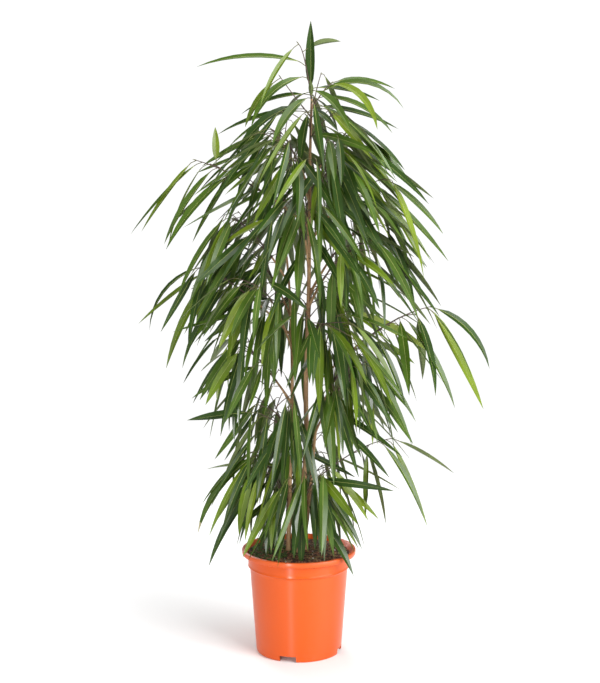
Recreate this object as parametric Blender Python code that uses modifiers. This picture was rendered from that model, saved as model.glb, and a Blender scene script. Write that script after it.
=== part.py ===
"""Potted narrow-leaf fig: three thin stems in a round nursery pot, with long hanging leaves.

Metres, +Z up. The origin is the middle of the pot's flat foot, and -Y is the front.
The pot is a thin turned shell, the soil a plug inside it, and each stem stands on the soil
with a flat cut. Boughs leave the stems, and each carries one mass of foliage: a main twig
that runs on from the bough's tip, side twigs by a seeded rule, and narrow leaves fused on.
"""

import math
import random
from dataclasses import dataclass

import bmesh
import bpy
from mathutils import Vector
from mathutils.bvhtree import BVHTree

NAME = "narrow_leaf_fig"
SEED = 2124

CLEARANCE = 0.0003          # gap between solids that touch on the real plant
SMALL = 1e-6                # points nearer than this are one point
SHARP = math.radians(35)    # edges that turn more than this stay sharp

# Pot
POT_HEIGHT = 0.193
RIM_RADIUS = 0.105
LIP_HEIGHT = 0.0095
LIP_ROUND = 0.002
LIP_WIDTH = 0.0060          # the lip's level top
LIP_SLOPE = 0.0095          # height of the slope from the inner wall out to the lip
COLLAR_RADIUS = 0.0935
COLLAR_DROP = 0.033         # from the rim's top to the step under the collar
COLLAR_SLOPE = 0.004        # height of the slanting step inside the collar
BODY_TOP_RADIUS = 0.0905
BODY_FOOT_RADIUS = 0.0787
FOOT_ROUND = 0.003
WALL = 0.0020
SKIRT = 0.0012              # thickness of the foot ring where it stands
FLOOR_RISE = 0.0140         # the floor's underside, over the drain channel
PAD_RADIUS = 0.032          # the middle of the floor, which stands on the ground
PAD_SLOPE = 0.004
POT_STEPS = 36
NOTCH_WIDTH = 0.031
NOTCH_HEIGHT = 0.011
NOTCH_DEPTH = 0.016
NOTCH_COUNT = 4
NOTCH_FIRST = math.radians(255)

# Soil
SOIL_TOP = 0.187
SOIL_EDGE_DIP = 0.004
SOIL_EDGE_WIDTH = 0.018

# Stems and boughs
STEM_SIDES = 6
STEM_STEPS = 9
FLARE_HEIGHT = 0.010
FLARE = 1.35                # how much wider the stem is where it stands on the soil
BOUGH_SIDES = 6
BOUGH_STEPS = 2
BOUGH_SHARE = 0.80          # a limb's thickest root, as a share of the stem it leaves
BOUGH_ROOT_RADIUS = 0.0028
BOUGH_TIP_RADIUS = 0.0018
KNEE = 0.55                 # where a limb's arch turns, as a share of its reach

# Twigs
TWIG_SIDES = 3
TWIG_STEPS = 3
TWIG_TIP_RADIUS = 0.0015
SIDE_TWIG_RADIUS = 0.0016
SIDE_TWIG_TAPER = 0.8
SIDE_TWIG_LENGTH = 0.065
SIDE_TWIG_SHORTENING = 0.35 # how much shorter they are at the main twig's tip
SIDE_TWIG_SHARES = (0.18, 0.42, 0.68)
SIDE_TWIG_SWING = (34, 62)  # degrees to the left or right of the main twig
SIDE_TWIG_LIFT = (-12, 14)  # degrees above the main twig's own slope
SIDE_TWIG_SPREAD = (0.85, 1.10)
SIDE_TWIG_INNER = 0.5       # their leaves fall as ones half-way along the main twig do

# Leaves
LEAF_LENGTH = 0.165
LEAF_SPREAD = 0.12          # leaf lengths vary by this share
LEAF_SECTIONS = ((0.00, 0.0076, 0.0019),     # place along the leaf, breadth, depth of the midrib,
                 (0.28, 0.1050, 0.0262),     # as shares of its length; the first is sunk in the
                 (0.60, 0.1080, 0.0140))     # twig and has the second's shape, so its sides are flat
LEAF_SPACING = 0.013
LEAF_OFFSET = 0.35          # how far before each even step along a twig its leaf grows
LEAF_STEPS = 8
LEAF_TIP_SHARE = 0.97       # where on a twig its last leaf grows
LEAF_TIP_SWING = (-14, 14)
LEAF_SWING = (20, 62)       # degrees to the left or right of its twig
LEAF_SLOPE = (-22, 12)      # degrees above level where a leaf sets off at a twig's tip
LEAF_INNER_SLOPE = -35      # and how much steeper it falls at the main twig's root
LEAF_END_SLOPE = (-84, -58)
LEAF_ROLL = (-40, 40)
TRIES = 16

# Room between the masses
ROOM = 0.0010               # least air between solids of different masses
SPACE_DROP = 0.055          # a mass's space hangs this far below its twig
SPACE_OUT = 0.045           # and lies this far out from it
SPACE_STRETCH = 0.55        # how little height counts in the distance to a space
SPACE_MARGIN = 0.042        # how far a leaf may reach over the middle between two spaces
SPACE_MARKS = (0.2, 0.6, 1.0)


@dataclass
class Stem:
    """A stem: its foot, the points it passes and its two end radii."""

    name: str
    points: tuple
    foot_radius: float
    tip_radius: float


@dataclass
class Spray:
    """A bough and the mass of foliage that it carries, as one arching line from its stem."""

    name: str
    stem: str
    height: float           # where it leaves the stem
    heading: float          # degrees, 0 to the right (+X), 270 to the front (-Y)
    rise: float             # degrees above level at the stem
    reach: float            # how far out the main twig's tip is
    end_height: float       # and how high
    bare: float             # share of the line that is bare bough; 0 without a bough
    leaves: int


@dataclass
class Accent:
    """A leaf with a place of its own, one of those that give the crown its outline."""

    spray: str
    share: float            # place along the main twig
    heading: float
    slope: float            # degrees above level where it sets off
    end_slope: float        # and at its tip
    length: float
    roll: float


STEMS = (
    Stem("stem_main", ((-0.004, -0.003, 0.0), (-0.004, -0.003, 0.205), (0.005, -0.002, 0.283),
                       (0.014, 0.000, 0.380), (0.013, 0.001, 0.490), (0.018, 0.000, 0.672),
                       (0.020, 0.000, 0.896), (0.023, 0.000, 1.012)), 0.0055, 0.0022),
    Stem("stem_left", ((-0.019, 0.006, 0.0), (-0.019, 0.006, 0.205), (-0.016, 0.012, 0.330),
                       (-0.012, 0.020, 0.500), (-0.016, 0.026, 0.650), (-0.022, 0.030, 0.730)),
         0.0045, 0.0020),
    Stem("stem_right", ((0.011, 0.012, 0.0), (0.011, 0.012, 0.205), (0.022, 0.006, 0.320),
                        (0.034, -0.004, 0.450), (0.044, -0.010, 0.545)), 0.0042, 0.0018),
)

SPRAYS = (
    Spray("crest_top", "stem_main", 1.008, 190, 82, 0.024, 1.108, 0, 4),
    Spray("crest_right", "stem_main", 0.992, 8, 62, 0.050, 1.046, 0, 6),
    Spray("crest_left", "stem_main", 0.980, 176, 50, 0.056, 1.052, 0, 4),
    Spray("crest_front", "stem_main", 0.940, 272, 58, 0.040, 1.005, 0, 7),
    Spray("crest_back", "stem_main", 0.950, 86, 58, 0.045, 1.020, 0, 7),
    Spray("leader_left", "stem_left", 0.729, 105, 78, 0.025, 0.850, 0, 9),
    Spray("leader_right", "stem_right", 0.544, 330, 78, 0.025, 0.665, 0, 9),

    Spray("upper_right", "stem_main", 0.860, 346, 61, 0.070, 0.955, 0.28, 14),
    Spray("upper_back_left", "stem_main", 0.850, 132, 61, 0.085, 0.960, 0.28, 14),
    Spray("upper_front_left", "stem_main", 0.830, 226, 63, 0.075, 0.940, 0.28, 14),
    Spray("upper_back_right", "stem_main", 0.815, 46, 59, 0.090, 0.925, 0.30, 14),
    Spray("upper_front_right", "stem_main", 0.795, 296, 63, 0.080, 0.905, 0.28, 14),
    Spray("upper_left", "stem_main", 0.785, 181, 40, 0.205, 0.905, 0.36, 8),

    Spray("high_back", "stem_main", 0.745, 96, 61, 0.110, 0.860, 0.30, 14),
    Spray("high_right", "stem_main", 0.755, 10, 57, 0.115, 0.860, 0.30, 15),
    Spray("high_front", "stem_main", 0.705, 258, 65, 0.100, 0.825, 0.30, 14),
    Spray("high_left", "stem_left", 0.680, 194, 59, 0.100, 0.800, 0.30, 15),
    Spray("high_back_right", "stem_main", 0.660, 30, 59, 0.130, 0.780, 0.32, 14),
    Spray("high_front_right", "stem_main", 0.640, 318, 59, 0.110, 0.750, 0.32, 15),

    Spray("middle_back_left", "stem_left", 0.620, 136, 59, 0.115, 0.740, 0.30, 14),
    Spray("middle_left", "stem_left", 0.585, 172, 46, 0.165, 0.710, 0.34, 14),
    Spray("middle_front_left", "stem_left", 0.560, 238, 61, 0.115, 0.685, 0.32, 15),
    Spray("middle_back", "stem_main", 0.545, 84, 59, 0.130, 0.670, 0.32, 14),
    Spray("middle_right", "stem_right", 0.510, 2, 46, 0.200, 0.642, 0.34, 14),
    Spray("middle_front", "stem_main", 0.510, 288, 65, 0.105, 0.620, 0.30, 14),

    Spray("lower_left", "stem_left", 0.460, 190, 57, 0.090, 0.575, 0.30, 14),
    Spray("lower_back_right", "stem_right", 0.440, 44, 57, 0.100, 0.555, 0.30, 14),
    Spray("lower_front_right", "stem_right", 0.410, 316, 61, 0.088, 0.525, 0.30, 14),
    Spray("lower_back_left", "stem_left", 0.380, 128, 59, 0.095, 0.500, 0, 14),
    Spray("lower_front_left", "stem_left", 0.360, 246, 63, 0.080, 0.475, 0, 14),
    Spray("base_right", "stem_right", 0.310, 356, 44, 0.152, 0.400, 0, 10),
    Spray("base_back", "stem_main", 0.300, 82, 61, 0.080, 0.405, 0, 14),
    Spray("base_left", "stem_left", 0.275, 188, 61, 0.055, 0.372, 0, 14),
    Spray("base_front", "stem_main", 0.255, 290, 63, 0.065, 0.355, 0, 14),
)

ACCENTS = (
    Accent("crest_top", 0.08, 275, 88, 85, 0.128, 0),
    Accent("crest_top", 0.52, 178, 24, -22, 0.176, 35),
    Accent("crest_top", 0.97, 232, -30, -76, 0.150, 25),
    Accent("crest_top", 0.72, 62, 30, 4, 0.110, 20),
    Accent("crest_left", 0.96, 184, -38, -76, 0.125, 30),
    Accent("crest_left", 0.30, 200, -12, -70, 0.160, 25),
    Accent("crest_right", 0.96, 2, 20, -66, 0.158, 20),
    Accent("crest_right", 0.62, 38, 12, -34, 0.120, 25),
    Accent("crest_right", 0.74, 318, -10, -72, 0.150, -30),
    Accent("upper_left", 0.97, 182, -30, -66, 0.168, 25),
    Accent("upper_left", 0.90, 176, -34, -58, 0.180, -25),
    Accent("upper_left", 0.66, 186, -34, -70, 0.165, 30),
    Accent("upper_left", 0.74, 262, 42, 30, 0.110, 0),
    Accent("upper_right", 0.97, 0, -20, -56, 0.165, 25),
    Accent("high_right", 0.97, 2, -30, -60, 0.180, 30),
    Accent("high_back_right", 0.97, 4, -30, -66, 0.170, -25),
    Accent("middle_left", 0.97, 178, -12, -84, 0.175, 20),
    Accent("middle_left", 0.86, 182, -38, -50, 0.160, 25),
    Accent("middle_left", 0.45, 190, -48, -74, 0.180, 40),
    Accent("middle_right", 0.97, 358, -18, -70, 0.168, 20),
    Accent("middle_right", 0.92, 350, -58, -68, 0.190, 40),
    Accent("middle_right", 0.72, 10, -58, -80, 0.180, -25),
    Accent("base_right", 0.97, 2, -20, -44, 0.132, 20),
    Accent("base_right", 0.88, 352, -60, -72, 0.160, 35),
    Accent("base_left", 0.97, 182, -28, -76, 0.195, 35),
    Accent("base_left", 0.60, 192, -50, -74, 0.185, 40),
)

# Finishes: colour, roughness
POT_FINISH = ((0.91, 0.20, 0.055, 1.0), 0.42)
SOIL_FINISH = ((0.045, 0.022, 0.012, 1.0), 0.95)
BARK_FINISH = ((0.24, 0.15, 0.09, 1.0), 0.80)
LEAF_FINISH = ((0.075, 0.17, 0.045, 1.0), 0.42)


def clear_scene():
    """Remove every object that the file opened with."""
    for thing in list(bpy.data.objects):
        bpy.data.objects.remove(thing, do_unlink=True)


def new_collection(name):
    """A collection of the scene, by name."""
    group = bpy.data.collections.new(name)
    bpy.context.scene.collection.children.link(group)
    return group


def new_material(name, finish):
    """A Principled material with a plain colour and roughness."""
    colour, roughness = finish
    material = bpy.data.materials.new(name)
    material.use_nodes = True
    shader = material.node_tree.nodes["Principled BSDF"]
    shader.inputs["Base Color"].default_value = colour
    shader.inputs["Roughness"].default_value = roughness
    shader.inputs["Metallic"].default_value = 0.0
    return material


def add_object(name, mesh, group, material=None):
    """Put a mesh in the scene as a named object."""
    thing = bpy.data.objects.new(name, mesh)
    group.objects.link(thing)
    if material:
        mesh.materials.clear()
        mesh.materials.append(material)
    return thing


def evaluated_mesh(thing):
    """The mesh of an object with its modifiers, or of a curve with its tube."""
    graph = bpy.context.evaluated_depsgraph_get()
    return bpy.data.meshes.new_from_object(thing.evaluated_get(graph))


def weld(mesh):
    """Join the points of a mesh that lie together."""
    work = bmesh.new()
    work.from_mesh(mesh)
    bmesh.ops.remove_doubles(work, verts=work.verts, dist=SMALL)
    bmesh.ops.recalc_face_normals(work, faces=work.faces)
    work.to_mesh(mesh)
    work.free()


def bake(thing):
    """Apply an object's modifiers to its mesh."""
    mesh = evaluated_mesh(thing)
    thing.modifiers.clear()
    thing.data = mesh


def shade_round(mesh):
    """Shade a round piece smooth, with its real edges kept sharp."""
    mesh.shade_smooth()
    mesh.set_sharp_from_angle(angle=SHARP)


def bvh(mesh):
    """A search tree over a mesh's faces."""
    points = [v.co.copy() for v in mesh.vertices]
    return BVHTree.FromPolygons(points, [tuple(p.vertices) for p in mesh.polygons])


# ---------------------------------------------------------------- pot and soil

def wall_radius(z):
    """Outer radius of the pot's tapering wall at a height."""
    step = POT_HEIGHT - COLLAR_DROP
    share = z / step
    return BODY_FOOT_RADIUS + share * (BODY_TOP_RADIUS - BODY_FOOT_RADIUS)


def inner_line(offset):
    """The pot's inner outline from the floor's middle up, moved inwards by an offset."""
    floor = WALL + offset
    raised = FLOOR_RISE + floor
    step = POT_HEIGHT - COLLAR_DROP + offset
    inset = WALL + offset
    return [
        (0.0, floor),
        (PAD_RADIUS - PAD_SLOPE - offset, floor),
        (PAD_RADIUS - offset, raised),
        (wall_radius(raised) - inset, raised),
        (wall_radius(step) - inset, step),
        (COLLAR_RADIUS - inset, step + COLLAR_SLOPE),
        (COLLAR_RADIUS - inset, SOIL_TOP - SOIL_EDGE_DIP),
    ]


def pot_profile():
    """The pot's section: the inside from the middle up, the lip, and down the outside."""
    step = POT_HEIGHT - COLLAR_DROP
    lip = POT_HEIGHT - LIP_HEIGHT
    inner = COLLAR_RADIUS - WALL
    skirt = BODY_FOOT_RADIUS - FOOT_ROUND
    return inner_line(0.0) + [
        (inner, POT_HEIGHT - LIP_SLOPE),
        (RIM_RADIUS - LIP_WIDTH, POT_HEIGHT),
        (RIM_RADIUS - LIP_ROUND, POT_HEIGHT),
        (RIM_RADIUS, POT_HEIGHT - LIP_ROUND),
        (RIM_RADIUS, lip + LIP_ROUND / 2),
        (RIM_RADIUS - LIP_ROUND / 2, lip),
        (COLLAR_RADIUS, lip),
        (COLLAR_RADIUS, step + LIP_ROUND),
        (wall_radius(step), step - LIP_ROUND),
        (wall_radius(FOOT_ROUND), FOOT_ROUND),
        (skirt, 0.0),
        (skirt - SKIRT, 0.0),
        (skirt - SKIRT, FLOOR_RISE),
        (PAD_RADIUS + WALL, FLOOR_RISE),
        (PAD_RADIUS + WALL - PAD_SLOPE, 0.0),
        (0.0, 0.0),
    ]


def turned(name, profile, steps, group, material):
    """A solid of revolution: a profile spun by a Screw modifier."""
    mesh = bpy.data.meshes.new(name)
    points = [(x, 0.0, z) for x, z in profile]
    edges = [(i, i + 1) for i in range(len(points) - 1)]
    mesh.from_pydata(points, edges, [])
    thing = add_object(name, mesh, group, material)
    screw = thing.modifiers.new("turn", "SCREW")
    screw.axis = "Z"
    screw.steps = steps
    screw.render_steps = steps
    screw.use_merge_vertices = True
    screw.merge_threshold = SMALL
    return thing


def finish_round(thing):
    """Apply a turned piece's modifiers and shade it smooth."""
    bpy.context.view_layer.update()
    bake(thing)
    shade_round(thing.data)


def build_pot(parts, cutters, material):
    """The pot, with a drain notch cut through its foot at each quarter."""
    pot = turned("pot", pot_profile(), POT_STEPS, parts, material)
    for k in range(NOTCH_COUNT):
        angle = NOTCH_FIRST + k * 2 * math.pi / NOTCH_COUNT
        bpy.ops.mesh.primitive_cube_add(size=1.0)
        cutter = bpy.context.active_object
        for other in list(cutter.users_collection):
            other.objects.unlink(cutter)
        cutters.objects.link(cutter)
        cutter.name = f"notch_{k + 1}"
        cutter.scale = (NOTCH_DEPTH, NOTCH_WIDTH, 2 * NOTCH_HEIGHT)
        cutter.rotation_euler = (0.0, 0.0, angle)
        cutter.location = (BODY_FOOT_RADIUS * math.cos(angle),
                           BODY_FOOT_RADIUS * math.sin(angle), 0.0)
        cutter.hide_render = True
        cutter.display_type = "WIRE"
        cut = pot.modifiers.new(cutter.name, "BOOLEAN")
        cut.operation = "DIFFERENCE"
        cut.solver = "EXACT"
        cut.object = cutter
    finish_round(pot)


def build_soil(parts, material):
    """The soil: a plug that fills the pot and dips a little at its edge."""
    edge = COLLAR_RADIUS - WALL - CLEARANCE - SOIL_EDGE_WIDTH
    profile = inner_line(CLEARANCE) + [(edge, SOIL_TOP), (0.0, SOIL_TOP)]
    profile.reverse()
    finish_round(turned("soil", profile, POT_STEPS, parts, material))


# ---------------------------------------------------------------- limbs

def smooth_line(points, count):
    """Points at even steps of a Catmull-Rom curve through the given ones."""
    way = [Vector(p) for p in points]
    way = [2 * way[0] - way[1]] + way + [2 * way[-1] - way[-2]]
    spans = len(way) - 3
    line = []
    for k in range(count + 1):
        place = spans * k / count
        i = min(int(place), spans - 1)
        t = place - i
        a, b, c, d = way[i:i + 4]
        line.append(0.5 * (2 * b + (c - a) * t + (2 * a - 5 * b + 4 * c - d) * t ** 2
                           + (3 * b - 3 * c + d - a) * t ** 3))
    return line


def arch_line(start, spray):
    """A function of the share along a spray's line: it rises from its stem and arches over."""
    heading, rise = math.radians(spray.heading), math.radians(spray.rise)
    flat = Vector((math.cos(heading), math.sin(heading), 0.0))
    end = start + flat * spray.reach
    end.z = spray.end_height
    knee = start + flat * spray.reach * KNEE
    knee.z = start.z + spray.reach * KNEE * math.tan(rise)

    def place(share):
        return (start * (1 - share) ** 2 + knee * 2 * share * (1 - share) + end * share ** 2)

    return place


def bend_line(start, heading, rise, end_rise, length, count):
    """Points of a line that sets off at one slope and bends evenly to another."""
    flat = Vector((math.cos(heading), math.sin(heading), 0.0))
    point = Vector(start)
    line = [point.copy()]
    for k in range(count):
        slope = rise + (end_rise - rise) * (k + 0.5) / count
        point = point + (flat * math.cos(slope) + Vector((0, 0, math.sin(slope)))) * (length / count)
        line.append(point.copy())
    return line


def tube_mesh(name, line, radii, sides):
    """A tapering round limb along a line, made as a curve with a bevel and capped ends."""
    curve = bpy.data.curves.new(name, "CURVE")
    curve.dimensions = "3D"
    curve.bevel_depth = 1.0
    curve.bevel_resolution = sides // 2 - 2
    curve.use_fill_caps = True
    spline = curve.splines.new("POLY")
    spline.points.add(len(line) - 1)
    for point, place, radius in zip(spline.points, line, radii):
        point.co = (*place, 1.0)
        point.radius = radius
    holder = bpy.data.objects.new(name, curve)
    bpy.context.scene.collection.objects.link(holder)
    mesh = evaluated_mesh(holder)
    bpy.data.objects.remove(holder, do_unlink=True)
    bpy.data.curves.remove(curve)
    weld(mesh)
    shade_round(mesh)
    return mesh


def loft_mesh(name, rings, tip=None):
    """A closed solid through rings of equal size, ending in a flat ring or in a point."""
    work = bmesh.new()
    loops = [[work.verts.new(p) for p in ring] for ring in rings]
    size = len(rings[0])
    work.faces.new(loops[0])
    for low, high in zip(loops, loops[1:]):
        for i in range(size):
            j = (i + 1) % size
            work.faces.new((low[i], low[j], high[j], high[i]))
    if tip is None:
        work.faces.new(list(reversed(loops[-1])))
    else:
        end = work.verts.new(tip)
        for i in range(size):
            work.faces.new((loops[-1][i], loops[-1][(i + 1) % size], end))
    bmesh.ops.recalc_face_normals(work, faces=work.faces)
    mesh = bpy.data.meshes.new(name)
    work.to_mesh(mesh)
    work.free()
    return mesh


def sideways(ahead):
    """The level direction across a line, to its right as it runs ahead."""
    side = ahead.cross(Vector((0.0, 0.0, 1.0)))
    return side.normalized() if side.length > SMALL else Vector((1.0, 0.0, 0.0))


def twig_mesh(name, line, radii):
    """A three-sided twig along a line."""
    rings = []
    for k, place in enumerate(line):
        ahead = (line[min(k + 1, len(line) - 1)] - line[max(k - 1, 0)]).normalized()
        side = sideways(ahead)
        up = side.cross(ahead)
        ring = []
        for j in range(TWIG_SIDES):
            angle = 2 * math.pi * j / TWIG_SIDES + math.pi / 2
            ring.append(place + (side * math.cos(angle) + up * math.sin(angle)) * radii[k])
        rings.append(ring)
    return loft_mesh(name, rings)


def leaf_mesh(name, line, length, roll, extra=0.0):
    """A long pointed leaf along a line: three-sided, flat on top, with its midrib below."""
    rings = []
    for k, (_, breadth, keel) in enumerate(LEAF_SECTIONS):
        ahead = (line[max(k, 1) + 1] - line[max(k, 1) - 1]).normalized()
        side = sideways(ahead)
        across = side * math.cos(roll) + side.cross(ahead) * math.sin(roll)
        under = across.cross(ahead)
        half = breadth * length / 2 + extra
        above = line[k] - under * extra
        rings.append([above - across * half, above + across * half,
                      line[k] + under * (keel * length + extra)])
    return loft_mesh(name, rings, line[-1])


def stem_radius(stem, height):
    """A stem's radius at a height: an even taper from the foot to the tip."""
    share = (height - SOIL_TOP) / (stem.points[-1][2] - SOIL_TOP)
    return stem.foot_radius + (stem.tip_radius - stem.foot_radius) * share


def stem_line(stem):
    """A stem's line from its flat cut on the soil, with close points where its foot flares."""
    foot = Vector(stem.points[0])
    foot.z = SOIL_TOP + CLEARANCE
    line = [foot, foot + Vector((0, 0, FLARE_HEIGHT / 2)), foot + Vector((0, 0, FLARE_HEIGHT))]
    return line + smooth_line(stem.points[1:], STEM_STEPS)


def stem_tube(stem, line, extra=0.0):
    """A stem's mesh, or one a little fatter that its boughs are cut with."""
    radii = [stem_radius(stem, place.z) + extra for place in line]
    radii[0] *= FLARE
    radii[1] *= (1 + FLARE) / 2
    return tube_mesh(stem.name, line, radii, STEM_SIDES)


def place_at(line, height):
    """The point of a rising line at a height."""
    for low, high in zip(line, line[1:]):
        if low.z <= height <= high.z:
            return low.lerp(high, (height - low.z) / (high.z - low.z))
    return line[-1].copy()


def place_along(line, share):
    """The point at a share of a line's length, and the way it runs there."""
    place = share * (len(line) - 1)
    k = min(int(place), len(line) - 2)
    return line[k].lerp(line[k + 1], place - k), (line[k + 1] - line[k]).normalized()


def fit_boolean(thing, operation, solver, other=None, group=None):
    """Add a Boolean with an object or a collection, and apply it."""
    fit = thing.modifiers.new("fit", "BOOLEAN")
    fit.operation = operation
    fit.solver = solver
    if group:
        fit.operand_type = "COLLECTION"
        fit.collection = group
    else:
        fit.object = other
    bake(thing)


def drop_scraps(mesh):
    """Keep a mesh's largest body and drop loose scraps."""
    work = bmesh.new()
    work.from_mesh(mesh)
    left = set(work.verts)
    bodies = []
    while left:
        body = set()
        queue = [left.pop()]
        while queue:
            vert = queue.pop()
            body.add(vert)
            for edge in vert.link_edges:
                other = edge.other_vert(vert)
                if other in left:
                    left.remove(other)
                    queue.append(other)
        bodies.append(body)
    bodies.sort(key=len)
    scraps = [vert for body in bodies[:-1] for vert in body]
    bmesh.ops.delete(work, geom=scraps, context="VERTS")
    work.to_mesh(mesh)
    work.free()


# ---------------------------------------------------------------- foliage

class Space:
    """The room that each mass keeps to: what lies nearest to its own twig."""

    def __init__(self):
        self.marks = {}

    def claim(self, spray, line):
        """Give a mass the room round its twig, a little out and down from it."""
        heading = math.radians(spray.heading)
        out = Vector((math.cos(heading), math.sin(heading), 0.0)) * SPACE_OUT
        shift = out - Vector((0, 0, SPACE_DROP))
        self.marks[spray.name] = [place_along(line, share)[0] + shift for share in SPACE_MARKS]

    def reach(self, point, name):
        """Distance from a point to a mass's nearest mark, with height counting less."""
        gaps = [point - mark for mark in self.marks[name]]
        return min(Vector((gap.x, gap.y, gap.z * SPACE_STRETCH)).length for gap in gaps)

    def holds(self, points, name):
        """Whether all the points lie in a mass's own room."""
        for point in points:
            own = self.reach(point, name) - SPACE_MARGIN
            if any(self.reach(point, other) < own for other in self.marks if other != name):
                return False
        return True


class Mass:
    """One mass of foliage: a main twig, side twigs and leaves, fused into one solid."""

    def __init__(self, spray, line, root_radius):
        self.spray = spray
        self.rng = random.Random(f"{SEED} {spray.name}")
        radii = [root_radius + (TWIG_TIP_RADIUS - root_radius) * k / (len(line) - 1)
                 for k in range(len(line))]
        self.main = twig_mesh(spray.name, line, radii)
        self.twigs = [line]
        self.meshes = []
        self.trees = [bvh(self.main)]
        self.twig_trees = [0]
        self.leaves = 0

    def trim_root(self, group, guard):
        """Cut the main twig's root clear of the stem that it leaves."""
        trimmed = add_object("trimmed_twig", self.main, group)
        cut_clear(trimmed, guard)
        self.main = trimmed.data
        bpy.data.objects.remove(trimmed, do_unlink=True)
        self.trees[0] = bvh(self.main)

    def try_piece(self, make, line, parent, space, blockers):
        """Add a twig or a leaf unless it leaves the mass's space or touches anything."""
        if not space.holds(line[1:], self.spray.name):
            return False
        wide = bvh(make(ROOM))
        if any(wide.overlap(tree) for tree in blockers):
            return False
        slim = make(0.0)
        tree = bvh(slim)
        if any(tree.overlap(other) for k, other in enumerate(self.trees) if k != parent):
            return False
        self.meshes.append(slim)
        self.trees.append(tree)
        return True

    def add_accents(self, space, blockers):
        """The mass's leaves that have places of their own."""
        for accent in ACCENTS:
            if accent.spray == self.spray.name:
                start, _ = place_along(self.twigs[0], accent.share)
                heading, slope, end, roll = (math.radians(a) for a in (
                    accent.heading, accent.slope, accent.end_slope, accent.roll))
                self.try_leaf(start, heading, slope, end, accent.length, roll, 0, space, blockers)

    def add_side_twigs(self, space, blockers):
        """Side twigs that leave the main twig by turns to the left and right."""
        main = self.twigs[0]
        turn = self.rng.choice((-1, 1))
        for share in SIDE_TWIG_SHARES:
            turn = -turn
            for _ in range(TRIES):
                start, ahead = place_along(main, share)
                swing = turn * math.radians(self.rng.uniform(*SIDE_TWIG_SWING))
                heading = math.atan2(ahead.y, ahead.x) + swing
                slope = math.asin(ahead.z) + math.radians(self.rng.uniform(*SIDE_TWIG_LIFT))
                length = SIDE_TWIG_LENGTH * (1 - SIDE_TWIG_SHORTENING * share)
                length *= self.rng.uniform(*SIDE_TWIG_SPREAD)
                line = bend_line(start, heading, slope, slope, length, 1)

                def make(extra):
                    radii = [SIDE_TWIG_RADIUS + extra, SIDE_TWIG_RADIUS * SIDE_TWIG_TAPER + extra]
                    return twig_mesh("side", line, radii)

                if self.try_piece(make, line, 0, space, blockers):
                    self.twigs.append(line)
                    self.twig_trees.append(len(self.trees) - 1)
                    break

    def leaf_places(self):
        """Where leaves may grow: (twig, share, side), twig tips first, then evenly mixed."""
        tips = [(k, LEAF_TIP_SHARE, 0) for k in range(len(self.twigs))]
        rest = []
        for k, line in enumerate(self.twigs):
            length = sum((b - a).length for a, b in zip(line, line[1:]))
            count = int(length / LEAF_SPACING)
            for i in range(1, count + 1):
                share = (i - LEAF_OFFSET) / count
                if share < LEAF_TIP_SHARE:
                    rest.append((k, share, 1 if i % 2 else -1))
        self.rng.shuffle(rest)
        return tips + rest

    def add_leaves(self, space, blockers):
        """Leaves along the twigs, each hanging out and down, until the mass has its count."""
        for twig, share, side in self.leaf_places():
            if self.leaves >= self.spray.leaves:
                break
            start, ahead = place_along(self.twigs[twig], share)
            for _ in range(TRIES):
                swing = (self.rng.uniform(*LEAF_SWING) * side if side
                         else self.rng.uniform(*LEAF_TIP_SWING))
                heading = math.atan2(ahead.y, ahead.x) + math.radians(swing)
                inner = 1 - share if twig == 0 else SIDE_TWIG_INNER
                slope = math.radians(self.rng.uniform(*LEAF_SLOPE) + LEAF_INNER_SLOPE * inner)
                end = math.radians(self.rng.uniform(*LEAF_END_SLOPE))
                length = LEAF_LENGTH * self.rng.uniform(1 - LEAF_SPREAD, 1 + LEAF_SPREAD)
                roll = math.radians(self.rng.uniform(*LEAF_ROLL))
                if self.try_leaf(start, heading, slope, end, length, roll, twig, space, blockers):
                    break

    def try_leaf(self, start, heading, slope, end_slope, length, roll, twig, space, blockers):
        """Grow one leaf from a twig unless something is in its way."""
        line = leaf_line(start, heading, slope, end_slope, length)

        def make(extra):
            return leaf_mesh("leaf", line, length, roll, extra)

        grown = self.try_piece(make, line, self.twig_trees[twig], space, blockers)
        self.leaves += grown
        return grown

    def fuse(self, parts, material):
        """Join the twigs and leaves to the main twig by one Boolean union."""
        thing = add_object("foliage_" + self.spray.name, self.main, parts, material)
        group = new_collection("pieces")
        pieces = [add_object(f"piece_{k}", mesh, group) for k, mesh in enumerate(self.meshes)]
        fit_boolean(thing, "UNION", "EXACT", group=group)
        for piece in pieces:
            bpy.data.objects.remove(piece, do_unlink=True)
        bpy.data.collections.remove(group)
        drop_scraps(thing.data)


def leaf_line(start, heading, slope, end_slope, length):
    """A leaf's midrib: out of the twig, over its shoulder and down to its tip."""
    line = bend_line(start, heading, slope, end_slope, length, LEAF_STEPS)
    picked = [line[0]]
    for share, _, _ in LEAF_SECTIONS[1:]:
        picked.append(place_along(line, share)[0])
    return picked + [line[-1]]


def build_stems(parts, material):
    """The stems, with their lines and the fatter tubes that cut their boughs clear."""
    lines, guards = {}, {}
    for stem in STEMS:
        line = stem_line(stem)
        lines[stem.name] = line
        add_object(stem.name, stem_tube(stem, line), parts, material)
        guards[stem.name] = stem_tube(stem, line, CLEARANCE / math.cos(math.pi / STEM_SIDES))
    return lines, guards


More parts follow.
